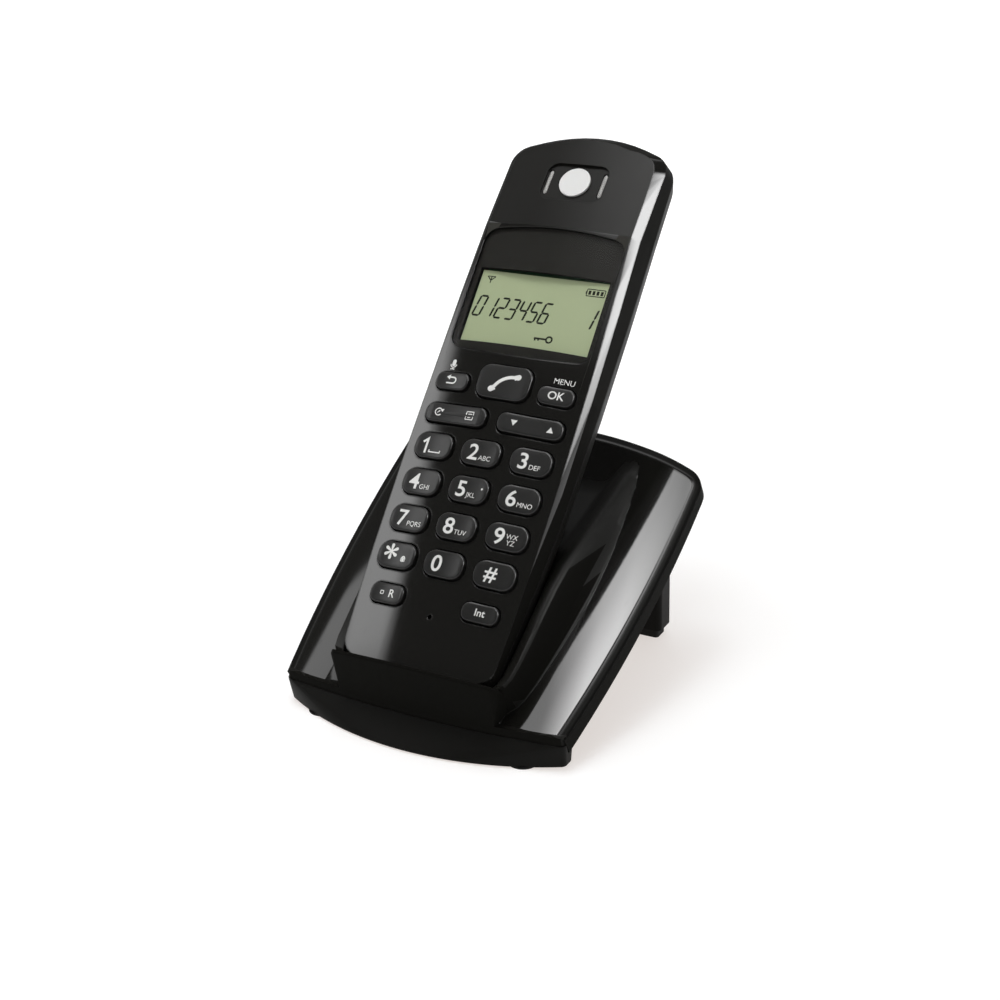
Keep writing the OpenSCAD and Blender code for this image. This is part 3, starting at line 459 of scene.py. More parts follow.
SLOT_OF = {part["node"]: part["material_slot"] for part in frame["record"]["subparts"]}
for node, thing in frame["nodes"].items():
    for place in thing.material_slots:
        place.material = SLOT_FINISHES[SLOT_OF[node]]


# ---------- new pieces ----------

def add_piece(name, mesh, body, slot, *materials):
    """A piece of the visual model that rides on a body; slot is not used."""
    piece = bpy.data.objects.new(name, mesh)
    bpy.context.collection.objects.link(piece)
    mesh.materials.clear()
    for material in materials:
        mesh.materials.append(material)
    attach(piece, body)
    return piece


def ease(value, low, high):
    """0 below low, 1 above high, and a smooth rise between them."""
    share = min(max((value - low) / (high - low), 0.0), 1.0)
    return share * share * (3.0 - 2.0 * share)


# ---------- shells: the moulded covers, shaded as the curves their facets stand for ----------

SPOTS_PER_METRE = 1e6
SAME_FLAT = math.cos(math.radians(0.2))
NORMAL_STEP = 0.02


def find_regions(mesh, spots):
    """Numbers the flat regions of a mesh; returns each face's region and each region's area."""
    owner = list(range(len(mesh.polygons)))

    def root(index):
        while owner[index] != index:
            owner[index] = owner[owner[index]]
            index = owner[index]
        return index

    sharing = {}
    for face in mesh.polygons:
        ring = [spots[vertex] for vertex in face.vertices]
        for first, second in zip(ring, ring[1:] + ring[:1]):
            sharing.setdefault(frozenset((first, second)), []).append(face.index)
    for faces in sharing.values():
        for other in faces[1:]:
            if mesh.polygons[faces[0]].normal.dot(mesh.polygons[other].normal) > SAME_FLAT:
                owner[root(other)] = root(faces[0])
    regions = [root(index) for index in range(len(owner))]
    areas = {}
    for face in mesh.polygons:
        areas[regions[face.index]] = areas.get(regions[face.index], 0.0) + face.area
    return regions, areas


def carried_normal(reshape, point, normal):
    """The direction a surface faces after its points have been moved by reshape."""
    side = normal.orthogonal().normalized()
    middle = reshape(point)
    first = reshape(point + side * (NORMAL_STEP * MM)) - middle
    second = reshape(point + normal.cross(side) * (NORMAL_STEP * MM)) - middle
    return first.cross(second).normalized()


def move_surface(mesh, given, reshape):
    """Moves a mesh's points, and turns the directions given for its corners along with them."""
    for face in mesh.polygons:
        for loop, vertex in zip(face.loop_indices, face.vertices):
            given[loop] = carried_normal(reshape, mesh.vertices[vertex].co, given[loop])
    for vertex in mesh.vertices:
        vertex.co = reshape(vertex.co)
    mesh.update()


def smooth_corners(mesh, given, curved, spread):
    """The directions in which a mesh's corners are shaded. A face of an exact curve keeps the ones
    given. A flat facet takes the mean of the facets round each corner, weighted by their areas,
    leaving out those that turn away from it by more than spread(face) degrees."""
    spots = [tuple(round(c * SPOTS_PER_METRE) for c in vertex.co) for vertex in mesh.vertices]
    regions, areas = find_regions(mesh, spots)
    around = {}
    for face in mesh.polygons:
        region = regions[face.index]
        for loop, vertex in zip(face.loop_indices, face.vertices):
            own = given[loop] if curved[face.index] else face.normal
            around.setdefault(spots[vertex], {})[region] = (own.copy(), areas[region])
    smoothed = list(given)
    for face in mesh.polygons:
        if curved[face.index]:
            continue
        limit = math.cos(math.radians(spread(face)))
        for loop, vertex in zip(face.loop_indices, face.vertices):
            total = Vector()
            for normal, area in around[spots[vertex]].values():
                if normal.dot(face.normal) > limit:
                    total += normal * area
            smoothed[loop] = total.normalized() if total.length else face.normal.copy()
    return smoothed


def smooth_shell(node, body, slot, spread, materials, choose=None, reshape=None):
    """A cover's surface in place of the plain solid; choose(face) picks one of its materials."""
    mesh = frame["nodes"][node].data.copy()
    mesh.name = node + "_surface"
    given = [corner.vector.copy() for corner in mesh.corner_normals]
    curved = [not flag.value for flag in mesh.attributes["sharp_face"].data]
    if reshape:
        move_surface(mesh, given, reshape)
    smoothed = smooth_corners(mesh, given, curved, spread)
    for face in mesh.polygons:
        face.use_smooth = True
    mesh.normals_split_custom_set([tuple(normal) for normal in smoothed])
    shell = add_piece(node + "_surface", mesh, body, slot, *materials)
    for face in mesh.polygons:
        face.material_index = materials.index(choose(face)) if choose else 0
    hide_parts(node)


# The head stands fuller than its plain solid. The flanks stay deep for longer below the bevel's
# foot, more so towards the head. The end grows upwards, from lower down at the corners than in the
# middle, and the corners spread sideways.
BEVEL_FOOT = -3.65
FLANK_FULLNESS = 0.4
FLANK_UP = (35.0, 140.0)
FLANK_INNER = 20.3
FLANK_INNER_DRAW = 4.6
FLANK_DRAW_DEPTH = (6.0, 12.0)
FLANK_EASE = 1.9
HEAD_GROWTH = 2.9
GROWTH_UP = (150.3, 156.0)
CORNER_DRAW = 14.0
CORNER_ACROSS = (11.5, 20.0)
HEAD_SPREAD = 0.9
SPREAD_UP = (126.0, 150.0)
SPREAD_ACROSS = (14.0, 23.0)


def fuller_head(point):
    """Where a point of the handset's plain solid lies in its fuller form; the face, the slope of
    the bevels and the foot stay as they are."""
    up, out = in_handset(point)
    across = abs(point.x) / MM
    inner = FLANK_INNER - FLANK_INNER_DRAW * ease(-out, *FLANK_DRAW_DEPTH)
    share = ease(up, *FLANK_UP) * ease(across, inner, inner + FLANK_EASE)
    edge = BEVEL_FOOT - max(up - CREASE_UP, 0.0) * math.tan(CREASE_LEAN)
    depth = HANDSET_DEPTH + edge
    below = (edge - out) / depth
    sink = 0.0
    if 0.0 < below < 1.0:
        sink = depth * (below - below ** (1.0 - FLANK_FULLNESS * share))
    start = GROWTH_UP[0] - CORNER_DRAW * ease(across, *CORNER_ACROSS)
    growth = HEAD_GROWTH * ease(up, start, GROWTH_UP[1])
    spread = HEAD_SPREAD * ease(up, *SPREAD_UP) * ease(across, *SPREAD_ACROSS)
    return (point + Vector((math.copysign(spread, point.x) * MM, 0.0, 0.0))
            + N_AXIS * ((sink - growth * math.sin(CREASE_LEAN)) * MM)
            + V_AXIS * (growth * math.cos(CREASE_LEAN) * MM))


# How squarely a face has to look in a direction to count as the flank, an end, the face or the
# back.
FLANK_LOOK = 0.985
LEFT_BEVEL_LOOK = -0.3
END_LOOK = 0.6
LEAST_FACE_LOOK = 0.2
FACE_LOOK = 0.9
BROW_BEVEL_LOOK = 0.4
BACK_LOOK = -0.3
# The sunk mask round the screen, and the brow's start, in mm.
MASK_HALF_W = 21.2
MASK_UP = (90.5, 129.2)
MASK_OUT = (-3.4, -0.95)
BROW_UP = CREASE_UP + 0.2


def handset_polish(face):
    """The front cover is polished on its face and right bevel. Its sides, ends, left bevel and
    inside stay satin; the mask round the screen and the brow above the crease have finishes of
    their own."""
    up, out = in_handset(face.center)
    normal = face.normal
    look = normal.dot(N_AXIS)
    if (normal.x > FLANK_LOOK or normal.x < LEFT_BEVEL_LOOK
            or abs(normal.dot(V_AXIS)) > END_LOOK or look < LEAST_FACE_LOOK):
        return FLANK_BLACK
    if (abs(face.center.x) < MASK_HALF_W * MM and MASK_UP[0] < up < MASK_UP[1]
            and MASK_OUT[0] < out < MASK_OUT[1] and look > FACE_LOOK):
        return MASK_GREY
    if up > BROW_UP and normal.x < BROW_BEVEL_LOOK:
        return BROW_BLACK if look > FACE_LOOK else FLANK_BLACK
    return GLOSS_BLACK


def rear_polish(face):
    """The rear half's broad back has a little more sheen than its satin sides, and a painted lift
    in colour.
    """
    return BACK_BLACK if face.normal.dot(N_AXIS) < BACK_LOOK else SATIN_BLACK


# A face belongs to the cradle if it stands higher above the slab than CRADLE_HEIGHT mm, or if it
# slants away from the slab and is no deeper than CRADLE_LOWEST; between the wings it may be deeper.
CRADLE_HEIGHT = 0.35
CRADLE_SLANT = 0.006
CRADLE_LOWEST = -0.3
# How squarely a face looks sideways or down to count as an edge or the underside, and how far
# behind the front edge the lip ends.
EDGE_LOOK = 0.93
UNDERSIDE_LOOK = -0.15
LIP_DEPTH = 0.1
# How many degrees two neighbouring facets of one curve may turn apart.
MOULDED_SPREAD = 30.0
CRADLE_SPREAD = 72.0
SLAB_SPREAD = 36.0


def on_shoulder(face):
    """Whether a face of the base's top cover belongs to the cradle with its shoulders."""
    x = face.center.x / MM
    lean = math.asin(max(abs(x) - WING_START, 0.0) / WING_R)
    height = above_slab(face.center) + wing_drop(x)
    slanted = face.normal.dot(SLAB_NORMAL) < math.cos(lean) - CRADLE_SLANT
    return height > CRADLE_HEIGHT or (slanted and (height > CRADLE_LOWEST or abs(x) < WING_START))


def base_polish(face):
    """The slab is polished and the cradle less so; upright edges, lip and inside stay satin."""
    if (abs(face.normal.x) > EDGE_LOOK or face.normal.z < UNDERSIDE_LOOK
            or face.center.y < (SLAB_FRONT.y + LIP_DEPTH) * MM):
        return FLANK_BLACK
    return SHOULDER_BLACK if on_shoulder(face) else SLAB_BLACK


def moulded_curve(face):
    """The same for every face of a moulded cover."""
    return MOULDED_SPREAD


def cradle_curve(face):
    """The shoulders are one flowing form; the slab under them keeps its edges."""
    return CRADLE_SPREAD if on_shoulder(face) else SLAB_SPREAD


smooth_shell("handset_front_cover", "handset", "gloss_shell", moulded_curve,
             (GLOSS_BLACK, FLANK_BLACK, MASK_GREY, BROW_BLACK), handset_polish, fuller_head)
smooth_shell("handset_rear_cover", "handset", "satin_shell", moulded_curve,
             (SATIN_BLACK, BACK_BLACK), rear_polish, fuller_head)
smooth_shell("battery_door", "door", "satin_shell", moulded_curve,
             (SATIN_BLACK, BACK_BLACK), rear_polish, fuller_head)
smooth_shell("base_top_cover", "base", "gloss_shell", cradle_curve,
             (SLAB_BLACK, FLANK_BLACK, SHOULDER_BLACK), base_polish)
smooth_shell("base_bottom_cover", "base", "satin_shell", moulded_curve, (SATIN_BLACK,))


# ---------- earpiece: a strip of mesh behind each of the two sound slots ----------

SLOT_ACROSS = 8.2
MESH_HALF_W = 0.62
MESH_HALF_H = 3.85
MESH_LEVEL = -1.05
MESH_BOW = 0.25
MESH_THICKNESS = 0.2
MESH_ROWS = 12
MESH_COLUMNS = 6
MESH_LEAST_SQUARED = 0.04


def on_brow(x, y, n):
    """A point on the part of the face above the crease, from the middle of the earpiece, in mm."""
    up = EARPIECE_UP - CREASE_UP + y
    return on_handset(x, CREASE_UP + up * math.cos(CREASE_LEAN) + n * math.sin(CREASE_LEAN),
                      n * math.cos(CREASE_LEAN) - up * math.sin(CREASE_LEAN))


def slot_sheet(form, x, behind):
    """One side of a slot's mesh strip, behind mm further in than its front: its rows of points."""
    rows = []
    for i in range(MESH_ROWS + 1):
        y = MESH_HALF_H * (2.0 * i / MESH_ROWS - 1.0)
        in_end = max(abs(y) - (MESH_HALF_H - MESH_HALF_W), 0.0)
        narrow = math.sqrt(max(1.0 - in_end ** 2 / MESH_HALF_W ** 2, MESH_LEAST_SQUARED))
        row = []
        for j in range(MESH_COLUMNS + 1):
            share = 2.0 * j / MESH_COLUMNS - 1.0
            level = MESH_LEVEL + MESH_BOW * (1.0 - share * share) * narrow
            row.append(form.verts.new(on_brow(x + share * MESH_HALF_W * narrow, y, level - behind)))
        rows.append(row)
    return rows


def make_slot_mesh(name, x):
    """A bowed strip of speaker mesh with round ends that fills one sound slot from inside."""
    form = bmesh.new()
    outlines = []
    for behind in (0.0, MESH_THICKNESS):
        rows = slot_sheet(form, x, behind)
        for lower, upper in zip(rows, rows[1:]):
            for j in range(MESH_COLUMNS):
                corners = (lower[j], lower[j + 1], upper[j + 1], upper[j])
                form.faces.new(corners[::-1] if behind else corners).smooth = not behind
        outlines.append(rows[0] + [row[-1] for row in rows[1:-1]] + rows[-1][::-1]
                        + [row[0] for row in rows[-2:0:-1]])
    near, far = outlines
    for i in range(len(near)):
        form.faces.new((near[i - 1], far[i - 1], far[i], near[i]))
        form.edges.get((near[i - 1], near[i])).smooth = False
    mesh = bpy.data.meshes.new(name)
    form.to_mesh(mesh)
    form.free()
    add_piece(name, mesh, "handset", "metal", SPEAKER_MESH)


make_slot_mesh("slot_mesh_left", -SLOT_ACROSS)
make_slot_mesh("slot_mesh_right", SLOT_ACROSS)


# ---------- keys ----------

KEY_PROUD = 1.2
KEY_DISH = 0.4
KEY_RIM = 0.8
RIM_TOP = -3.22
RIM_FOOT = -4.02
KEY_ROUNDING = 0.5
KEY_CORNER_SHARE = 0.42
KEY_CORNER_MOST = 3.2
LEAST_CORNER = 0.05
CORNER_STEPS = 8
SIDE_STEPS = 6
ROUNDING_STEPS = 6
TOP_RINGS = (0.3, 0.5, 0.7, 0.9)
PIVOT_R = 0.5
PIVOT_STEP = 15

COLUMN_PITCH = 14.5
ROW_PITCH = 10.4
FIRST_ROW_UP = 62.5
DIGIT_SIZE = (11.4, 7.2)
ROCKER_SIZE = (18.6, 5.4)
DIGIT_ROWS = (("key_1", "key_2", "key_3"), ("key_4", "key_5", "key_6"),
              ("key_7", "key_8", "key_9"), ("key_star", "key_0", "key_hash"))

# Each key's place across and up the handset, its width and its height, in mm.
KEYS = {key: (COLUMN_PITCH * (column - 1), FIRST_ROW_UP - ROW_PITCH * row, *DIGIT_SIZE)
        for row, keys in enumerate(DIGIT_ROWS) for column, key in enumerate(keys)}
KEYS.update({
    "key_talk": (0.0, 82.8, 15.6, 9.6),
    "key_back": (-15.5, 81.3, 10.0, 5.0), "key_ok": (15.5, 81.3, 10.0, 5.0),
    "key_recall": (-13.5, 20.9, 10.0, 5.4), "key_intercom": (13.9, 20.9, 10.0, 5.0),
    "key_list_rocker": (-11.1, 72.0, *ROCKER_SIZE), "key_scroll_rocker": (11.1, 72.0, *ROCKER_SIZE),
})


def key_top(key, u):
    """Level of a key's dished top at u across from its middle."""
    x, _, width, _ = KEYS[key]
    lean = math.asin(x / CROWN_R)
    dish_r = (width * width / 4.0 + KEY_DISH * KEY_DISH) / (2.0 * KEY_DISH)
    dished = KEY_PROUD - KEY_DISH + dish_r - math.sqrt(max(dish_r * dish_r - u * u, 0.0))
    dished = -crown_drop(x) - u * math.tan(lean) + dished / math.cos(lean)
    return min(dished, KEY_PROUD - crown_drop(x + u))


def key_outline(width, height, corner, shrink):
    """A rounded rectangle drawn in by shrink, with points along its straight sides too."""
    half_w, half_h = width / 2.0 - shrink, height / 2.0 - shrink
    corner = max(corner - shrink, LEAST_CORNER)
    signs = ((1, 1), (-1, 1), (-1, -1), (1, -1))
    middles = [Vector((u * (half_w - corner), v * (half_h - corner))) for u, v in signs]

    def on_corner(middle, degrees):
        angle = math.radians(degrees)
        return middle + Vector((math.cos(angle), math.sin(angle))) * corner

    points = []
    for turn, middle in enumerate(middles):
        points += [on_corner(middle, 90.0 * turn + 90.0 * step / CORNER_STEPS)
                   for step in range(CORNER_STEPS + 1)]
        start = points[-1]
        end = on_corner(middles[(turn + 1) % 4], 90.0 * (turn + 1))
        points += [start.lerp(end, step / SIDE_STEPS) for step in range(1, SIDE_STEPS)]
    return points


def add_pivot(form, x, y, height):
    """The round pin under a rocker's middle, on which it rocks."""
    ends = []
    for v in (-height / 2.0 - KEY_RIM, height / 2.0 + KEY_RIM):
        end = []
        for degrees in range(0, 360, PIVOT_STEP):
            angle = math.radians(degrees)
            end.append(form.verts.new(on_handset(x + PIVOT_R * math.cos(angle), y + v,
                                                 RIM_TOP - PIVOT_R + PIVOT_R * math.sin(angle))))
        ends.append(end)
    near, far = ends
    for i in range(len(near)):
        form.faces.new((near[i - 1], far[i - 1], far[i], near[i]))
    form.faces.new(near)
    form.faces.new(list(reversed(far)))


def make_key(key):
    """A moulded key: the rim or the pivot that holds it under the cover, its wall, a rounded edge
    and a dished top."""
    x, y, width, height = KEYS[key]
    corner = min(height * KEY_CORNER_SHARE, KEY_CORNER_MOST)
    form = bmesh.new()

    def ring(shrink, level):
        return [form.verts.new(on_handset(x + p.x, y + p.y, level(p.x)))
                for p in key_outline(width, height, corner, shrink)]

    if key.endswith("rocker"):
        rings = [ring(0.0, lambda u: RIM_FOOT)]
        add_pivot(form, x, y, height)
    else:
        rings = [ring(-KEY_RIM, lambda u: RIM_FOOT), ring(-KEY_RIM, lambda u: RIM_TOP),
                 ring(0.0, lambda u: RIM_TOP)]
    sharp_rings = rings[:]
    for step in range(ROUNDING_STEPS + 1):
        angle = math.radians(90.0 * step / ROUNDING_STEPS)
        drop = KEY_ROUNDING * (1.0 - math.sin(angle))
        rings.append(ring(KEY_ROUNDING * (1.0 - math.cos(angle)),
                          lambda u, drop=drop: key_top(key, u) - drop))
    reach = min(width, height) / 2.0
    for share in TOP_RINGS:
        rings.append(ring(KEY_ROUNDING + (reach - KEY_ROUNDING) * share, lambda u: key_top(key, u)))
    for lower, upper in zip(rings, rings[1:]):
        count = len(lower)
        for i in range(count):
            form.faces.new((lower[i], lower[(i + 1) % count], upper[(i + 1) % count], upper[i]))
    form.faces.new(list(reversed(rings[0])))
    form.faces.new(rings[-1])
    bmesh.ops.triangulate(form, faces=[face for face in form.faces if len(face.verts) > 4])
    for face in form.faces:
        face.smooth = True
    for points in sharp_rings:
        for first, second in zip(points, points[1:] + points[:1]):
            edge = form.edges.get((first, second))
            if edge:
                edge.smooth = False
    mesh = bpy.data.meshes.new(key + "_cap")
    form.to_mesh(mesh)
    form.free()
    piece = add_piece(key + "_cap", mesh, key + "_body", "key_plastic", KEY_BLACK)
    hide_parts(key)


for key in KEYS:
    make_key(key)


# ---------- printing: thin white marks laid on keys and cover, dark ones on the screen ----------

# Larger characters are thickened by this share of their size; small ones would run together.
WEIGHT = 0.014
SMALL_PRINT = 2.5
CURVE_STEPS = 6
LEAST_MITRE = 0.3
PRINT_LIFT = 0.035
SCREEN_PRINT_LIFT = 0.02
JOIN_DISTANCE = 1e-7


def lettering(text, size, x, y, align="CENTER"):
    """The filled outlines of some generic lettering, as flat polygons."""
    curve = bpy.data.curves.new("lettering", "FONT")
    curve.body = text
    curve.size = size
    curve.offset = WEIGHT * size if size > SMALL_PRINT else 0.0
    curve.align_x = align
    curve.align_y = "CENTER"
    curve.resolution_u = CURVE_STEPS
    holder = bpy.data.objects.new("lettering", curve)
    bpy.context.collection.objects.link(holder)
    flat = holder.to_mesh()
    polygons = [[(flat.vertices[v].co.x + x, flat.vertices[v].co.y + y) for v in face.vertices]
                for face in flat.polygons]
    holder.to_mesh_clear()
    bpy.data.objects.remove(holder)
    bpy.data.curves.remove(curve)
    return polygons


def bar(start, end, width):
    """A straight stroke with square ends."""
    start, end = Vector(start), Vector(end)
    side = (end - start).normalized().orthogonal() * width / 2.0
    return [[tuple(start + side), tuple(start - side), tuple(end - side), tuple(end + side)]]


def stroke(points, width):
    """A stroke through several points, mitred at each."""
    points = [Vector(p) for p in points]
    runs = [(after - before).normalized() for before, after in zip(points, points[1:])]
    left, right = [], []
    for point, before, after in zip(points, runs[:1] + runs, runs + runs[-1:]):
        along = (before + after).normalized()
        side = along.orthogonal() * width / 2.0 / max(along.dot(before), LEAST_MITRE)
        left.append(tuple(point + side))
        right.append(tuple(point - side))
    return [[left[i], right[i], right[i + 1], left[i + 1]] for i in range(len(points) - 1)]


def dot(x, y, radius, sides=24):
    """A filled round spot."""
    angles = [2 * math.pi * i / sides for i in range(sides)]
    return [[(x + radius * math.cos(angle), y + radius * math.sin(angle)) for angle in angles]]


def arc(x, y, radius, begin, end, width, steps=14):
    """A bent stroke round a middle, from one angle to another in degrees."""
    angles = [math.radians(begin + (end - begin) * i / steps) for i in range(steps + 1)]
    return stroke([(x + radius * math.cos(angle), y + radius * math.sin(angle))
                   for angle in angles], width)


def frame_box(x, y, width, height, line):
    """The four sides of a box round a middle."""
    left, right = x - width / 2.0, x + width / 2.0
    low, high = y - height / 2.0, y + height / 2.0
    return (bar((left, low), (right, low), line) + bar((left, high), (right, high), line)
            + bar((left, low), (left, high), line) + bar((right, low), (right, high), line))


def lay_marks(name, body, slot, material, polygons, surface):
    """Turns flat polygons into one thin piece laid on a surface."""
    form = bmesh.new()
    for polygon in polygons:
        face = form.faces.new([form.verts.new(surface(u, v)) for u, v in polygon])
        face.normal_update()
        if face.normal.dot(N_AXIS) < 0.0:
            face.normal_flip()
    bmesh.ops.remove_doubles(form, verts=form.verts, dist=JOIN_DISTANCE)
    bmesh.ops.triangulate(form, faces=form.faces)
    mesh = bpy.data.meshes.new(name)
    form.to_mesh(mesh)
    form.free()
    add_piece(name, mesh, body, slot, material)


def print_key(key, polygons):
    """Marks on a key's top, which ride on that key."""
    x, y, _, _ = KEYS[key]
    lay_marks(key + "_legend", key + "_body", "key_plastic", PRINT_WHITE, polygons,
              lambda u, v: on_handset(x + u, y + v, key_top(key, u) + PRINT_LIFT))


DIGIT_TEXT = 6.1
LETTER_TEXT = 1.9
DIGIT_PLACE = (-2.0, -0.35)
LETTER_PLACE = (-0.2, -1.5)

for key, digit, letters in (("key_2", "2", "ABC"), ("key_3", "3", "DEF"), ("key_4", "4", "GHI"),
                            ("key_5", "5", "JKL"), ("key_6", "6", "MNO"), ("key_7", "7", "PQRS"),
                            ("key_8", "8", "TUV"), ("key_0", "0", "")):
    marks = lettering(digit, DIGIT_TEXT, *DIGIT_PLACE)
    if letters:
        marks += lettering(letters, LETTER_TEXT, *LETTER_PLACE, align="LEFT")
    if key == "key_5":
        marks += dot(3.9, 0.6, 0.3)
    print_key(key, marks)

print_key("key_9", lettering("9", DIGIT_TEXT, *DIGIT_PLACE)
          + lettering("WX", LETTER_TEXT, 1.5, 0.15)
          + lettering("YZ", LETTER_TEXT, 1.5, -1.5))
# The one, with the sign of an empty space beside it.
print_key("key_1", stroke([(-3.3, 0.6), (-2.1, 1.65), (-2.1, -2.4)], 0.62)
          + stroke([(-0.9, -1.35), (-0.9, -1.95), (2.5, -1.95), (2.5, -1.35)], 0.32))
# The star, with a padlock beside it.
print_key("key_star", lettering("*", DIGIT_TEXT * 1.5, -1.8, -1.1)
          + frame_box(2.4, -0.95, 1.1, 0.9, 0.3) + dot(2.4, -0.95, 0.35)
          + arc(2.4, -0.5, 0.42, 0.0, 180.0, 0.26))
print_key("key_hash", lettering("#", DIGIT_TEXT * 0.92, -1.0, 0.0))
print_key("key_recall", frame_box(-1.5, 0.0, 0.85, 0.85, 0.25) + lettering("R", 3.0, 1.4, -0.05))
print_key("key_intercom", lettering("Int", 2.7, 0.0, 0.0))
print_key("key_ok", lettering("OK", 3.1, 0.0, 0.0))
# The arrow that turns back.
print_key("key_back", stroke([(-1.7, -0.75), (0.2, -0.75)], 0.42)
          + arc(0.2, 0.1, 0.85, -90.0, 90.0, 0.42) + stroke([(0.2, 0.95), (-1.0, 0.95)], 0.42)
          + [[(-0.9, 1.7), (-2.0, 0.95), (-0.9, 0.2)]])
# The receiver: its bent grip, then each end.
print_key("key_talk", arc(2.6, -4.0, 5.6, 84.0, 160.0, 0.95, 20)
          + stroke([(-3.45, -2.6), (-2.2, -1.75)], 1.5) + dot(-3.15, -2.3, 0.85)
          + stroke([(2.8, 1.45), (4.2, 1.95)], 1.4) + dot(3.9, 1.75, 0.8))
# The round arrow of the last numbers on the left, the phone book on the right.
print_key("key_list_rocker", arc(-5.2, 0.0, 1.0, 20.0, 320.0, 0.3)
          + [[(-4.1, 0.0), (-4.8, 0.75), (-3.7, 0.95)]] + bar((-5.55, -0.3), (-4.85, 0.35), 0.36)
          + frame_box(4.5, 0.0, 2.2, 2.2, 0.26) + bar((4.0, 0.45), (5.2, 0.45), 0.24)
          + bar((4.0, -0.05), (5.2, -0.05), 0.24) + bar((4.0, -0.5), (4.9, -0.5), 0.24))
print_key("key_scroll_rocker", [[(-5.5, 0.85), (-3.6, 0.85), (-4.55, -0.75)],
                                [(5.0, -0.95), (6.9, -0.95), (5.95, 0.65)]])


def on_face(u, v):
    """A point of the printing on the crowned face of the front cover."""
    return on_handset(u, v, PRINT_LIFT - crown_drop(u))


lay_marks("menu_lettering", "handset", "gloss_shell", PRINT_WHITE,
          lettering("MENU", 2.2, 16.3, 85.7), on_face)
lay_marks("microphone_sign", "handset", "gloss_shell", PRINT_WHITE,
          dot(-17.2, 87.2, 0.55) + bar((-17.2, 87.2), (-17.2, 86.35), 1.1) + dot(-17.2, 86.35, 0.55)
          + arc(-17.2, 86.35, 0.9, 180.0, 360.0, 0.26) + bar((-17.2, 85.45), (-17.2, 85.0), 0.3)
          + bar((-17.85, 84.95), (-16.55, 84.95), 0.28), on_face)


# ---------- screen: segment characters and state signs ----------

SEGMENTS_OF = {"0": "abcdef", "1": "bc", "2": "abged", "3": "abgcd", "4": "fgbc", "5": "afgcd",
               "6": "afgedc"}
SEGMENT_LEAN = 0.2
SEGMENT_GAP = 0.02
SEGMENT_LINE = 0.6
CHARACTER_LOW = 102.3
CHARACTER_HEIGHT = 5.9
CHARACTER_PITCH = 3.32


def segment_digit(digit, x, width):
    """One seven-segment digit that leans to the right; x is its left side."""
    half, height, line = CHARACTER_HEIGHT / 2.0, CHARACTER_HEIGHT, SEGMENT_LINE
    runs = {"a": ((0, height), (width, height)), "g": ((0, half), (width, half)),
            "d": ((0, 0), (width, 0)), "f": ((0, half), (0, height)),
            "b": ((width, half), (width, height)), "e": ((0, 0), (0, half)),
            "c": ((width, 0), (width, half))}
    polygons = []
    for name in SEGMENTS_OF[digit]:
        start, end = (Vector(p) for p in runs[name])
        along = (end - start).normalized()
        start = start + along * (SEGMENT_GAP + line / 2)
        end = end - along * (SEGMENT_GAP + line / 2)
        side = along.orthogonal() * line / 2.0
        corners = (start - along * line / 2, start + side, end + side, end + along * line / 2,
                   end - side, start - side)
        polygons.append([(x + p.x + SEGMENT_LEAN * p.y, CHARACTER_LOW + p.y) for p in corners])
    return polygons


def screen_signs():
    """What the screen shows: digits, the aerial, the full battery and the key."""
    polygons = []
    for place, digit in enumerate("0123456"):
        polygons += segment_digit(digit, -18.3 + CHARACTER_PITCH * place, 2.15)
    polygons += segment_digit("1", 15.0, 2.2)
    polygons += (bar((-16.0, 112.2), (-16.0, 114.2), 0.32)
                 + bar((-16.0, 113.0), (-17.2, 114.2), 0.3)
                 + bar((-16.0, 113.0), (-14.8, 114.2), 0.3)
                 + bar((-17.2, 114.2), (-14.8, 114.2), 0.26))
    polygons += frame_box(15.9, 112.9, 5.3, 2.0, 0.26) + bar((13.1, 112.5), (13.1, 113.3), 0.35)
    for place in range(4):
        polygons += bar((14.1 + 1.2 * place, 112.3), (14.1 + 1.2 * place, 113.5), 0.75)
    polygons += arc(6.8, 97.9, 0.85, 0.0, 360.0, 0.5, 20) + bar((2.3, 97.9), (6.0, 97.9), 0.55)
    polygons += bar((2.7, 97.2), (2.7, 97.9), 0.5) + bar((3.7, 97.3), (3.7, 97.9), 0.5)
    return polygons


lay_marks("screen_signs", "handset", "lcd", SEGMENT_DARK, screen_signs(),
          lambda u, v: on_handset(u, v, SCREEN_LEVEL + SCREEN_PRINT_LIFT))


# ---------- stage: floor, world and softboxes, in metres ----------

FLOOR_HALF = 4.0
FLOOR_BOUNCE = 0.5
NEAR_FLOOR = 0.16
FAR_FLOOR = 0.5
FILL_LIGHT = 0.42
CEILING = 0.1
HORIZON = 0.85
CEILING_FROM = 0.3
HORIZON_TO = 0.03
AIM = Vector((0.0, 0.0, 0.06))


def in_mirrors(tree, path):
    """1 for what a mirror image or a view through clear material shows."""
    return calculate(tree, "MAXIMUM", path.outputs["Is Glossy Ray"],
                     path.outputs["Is Transmission Ray"])


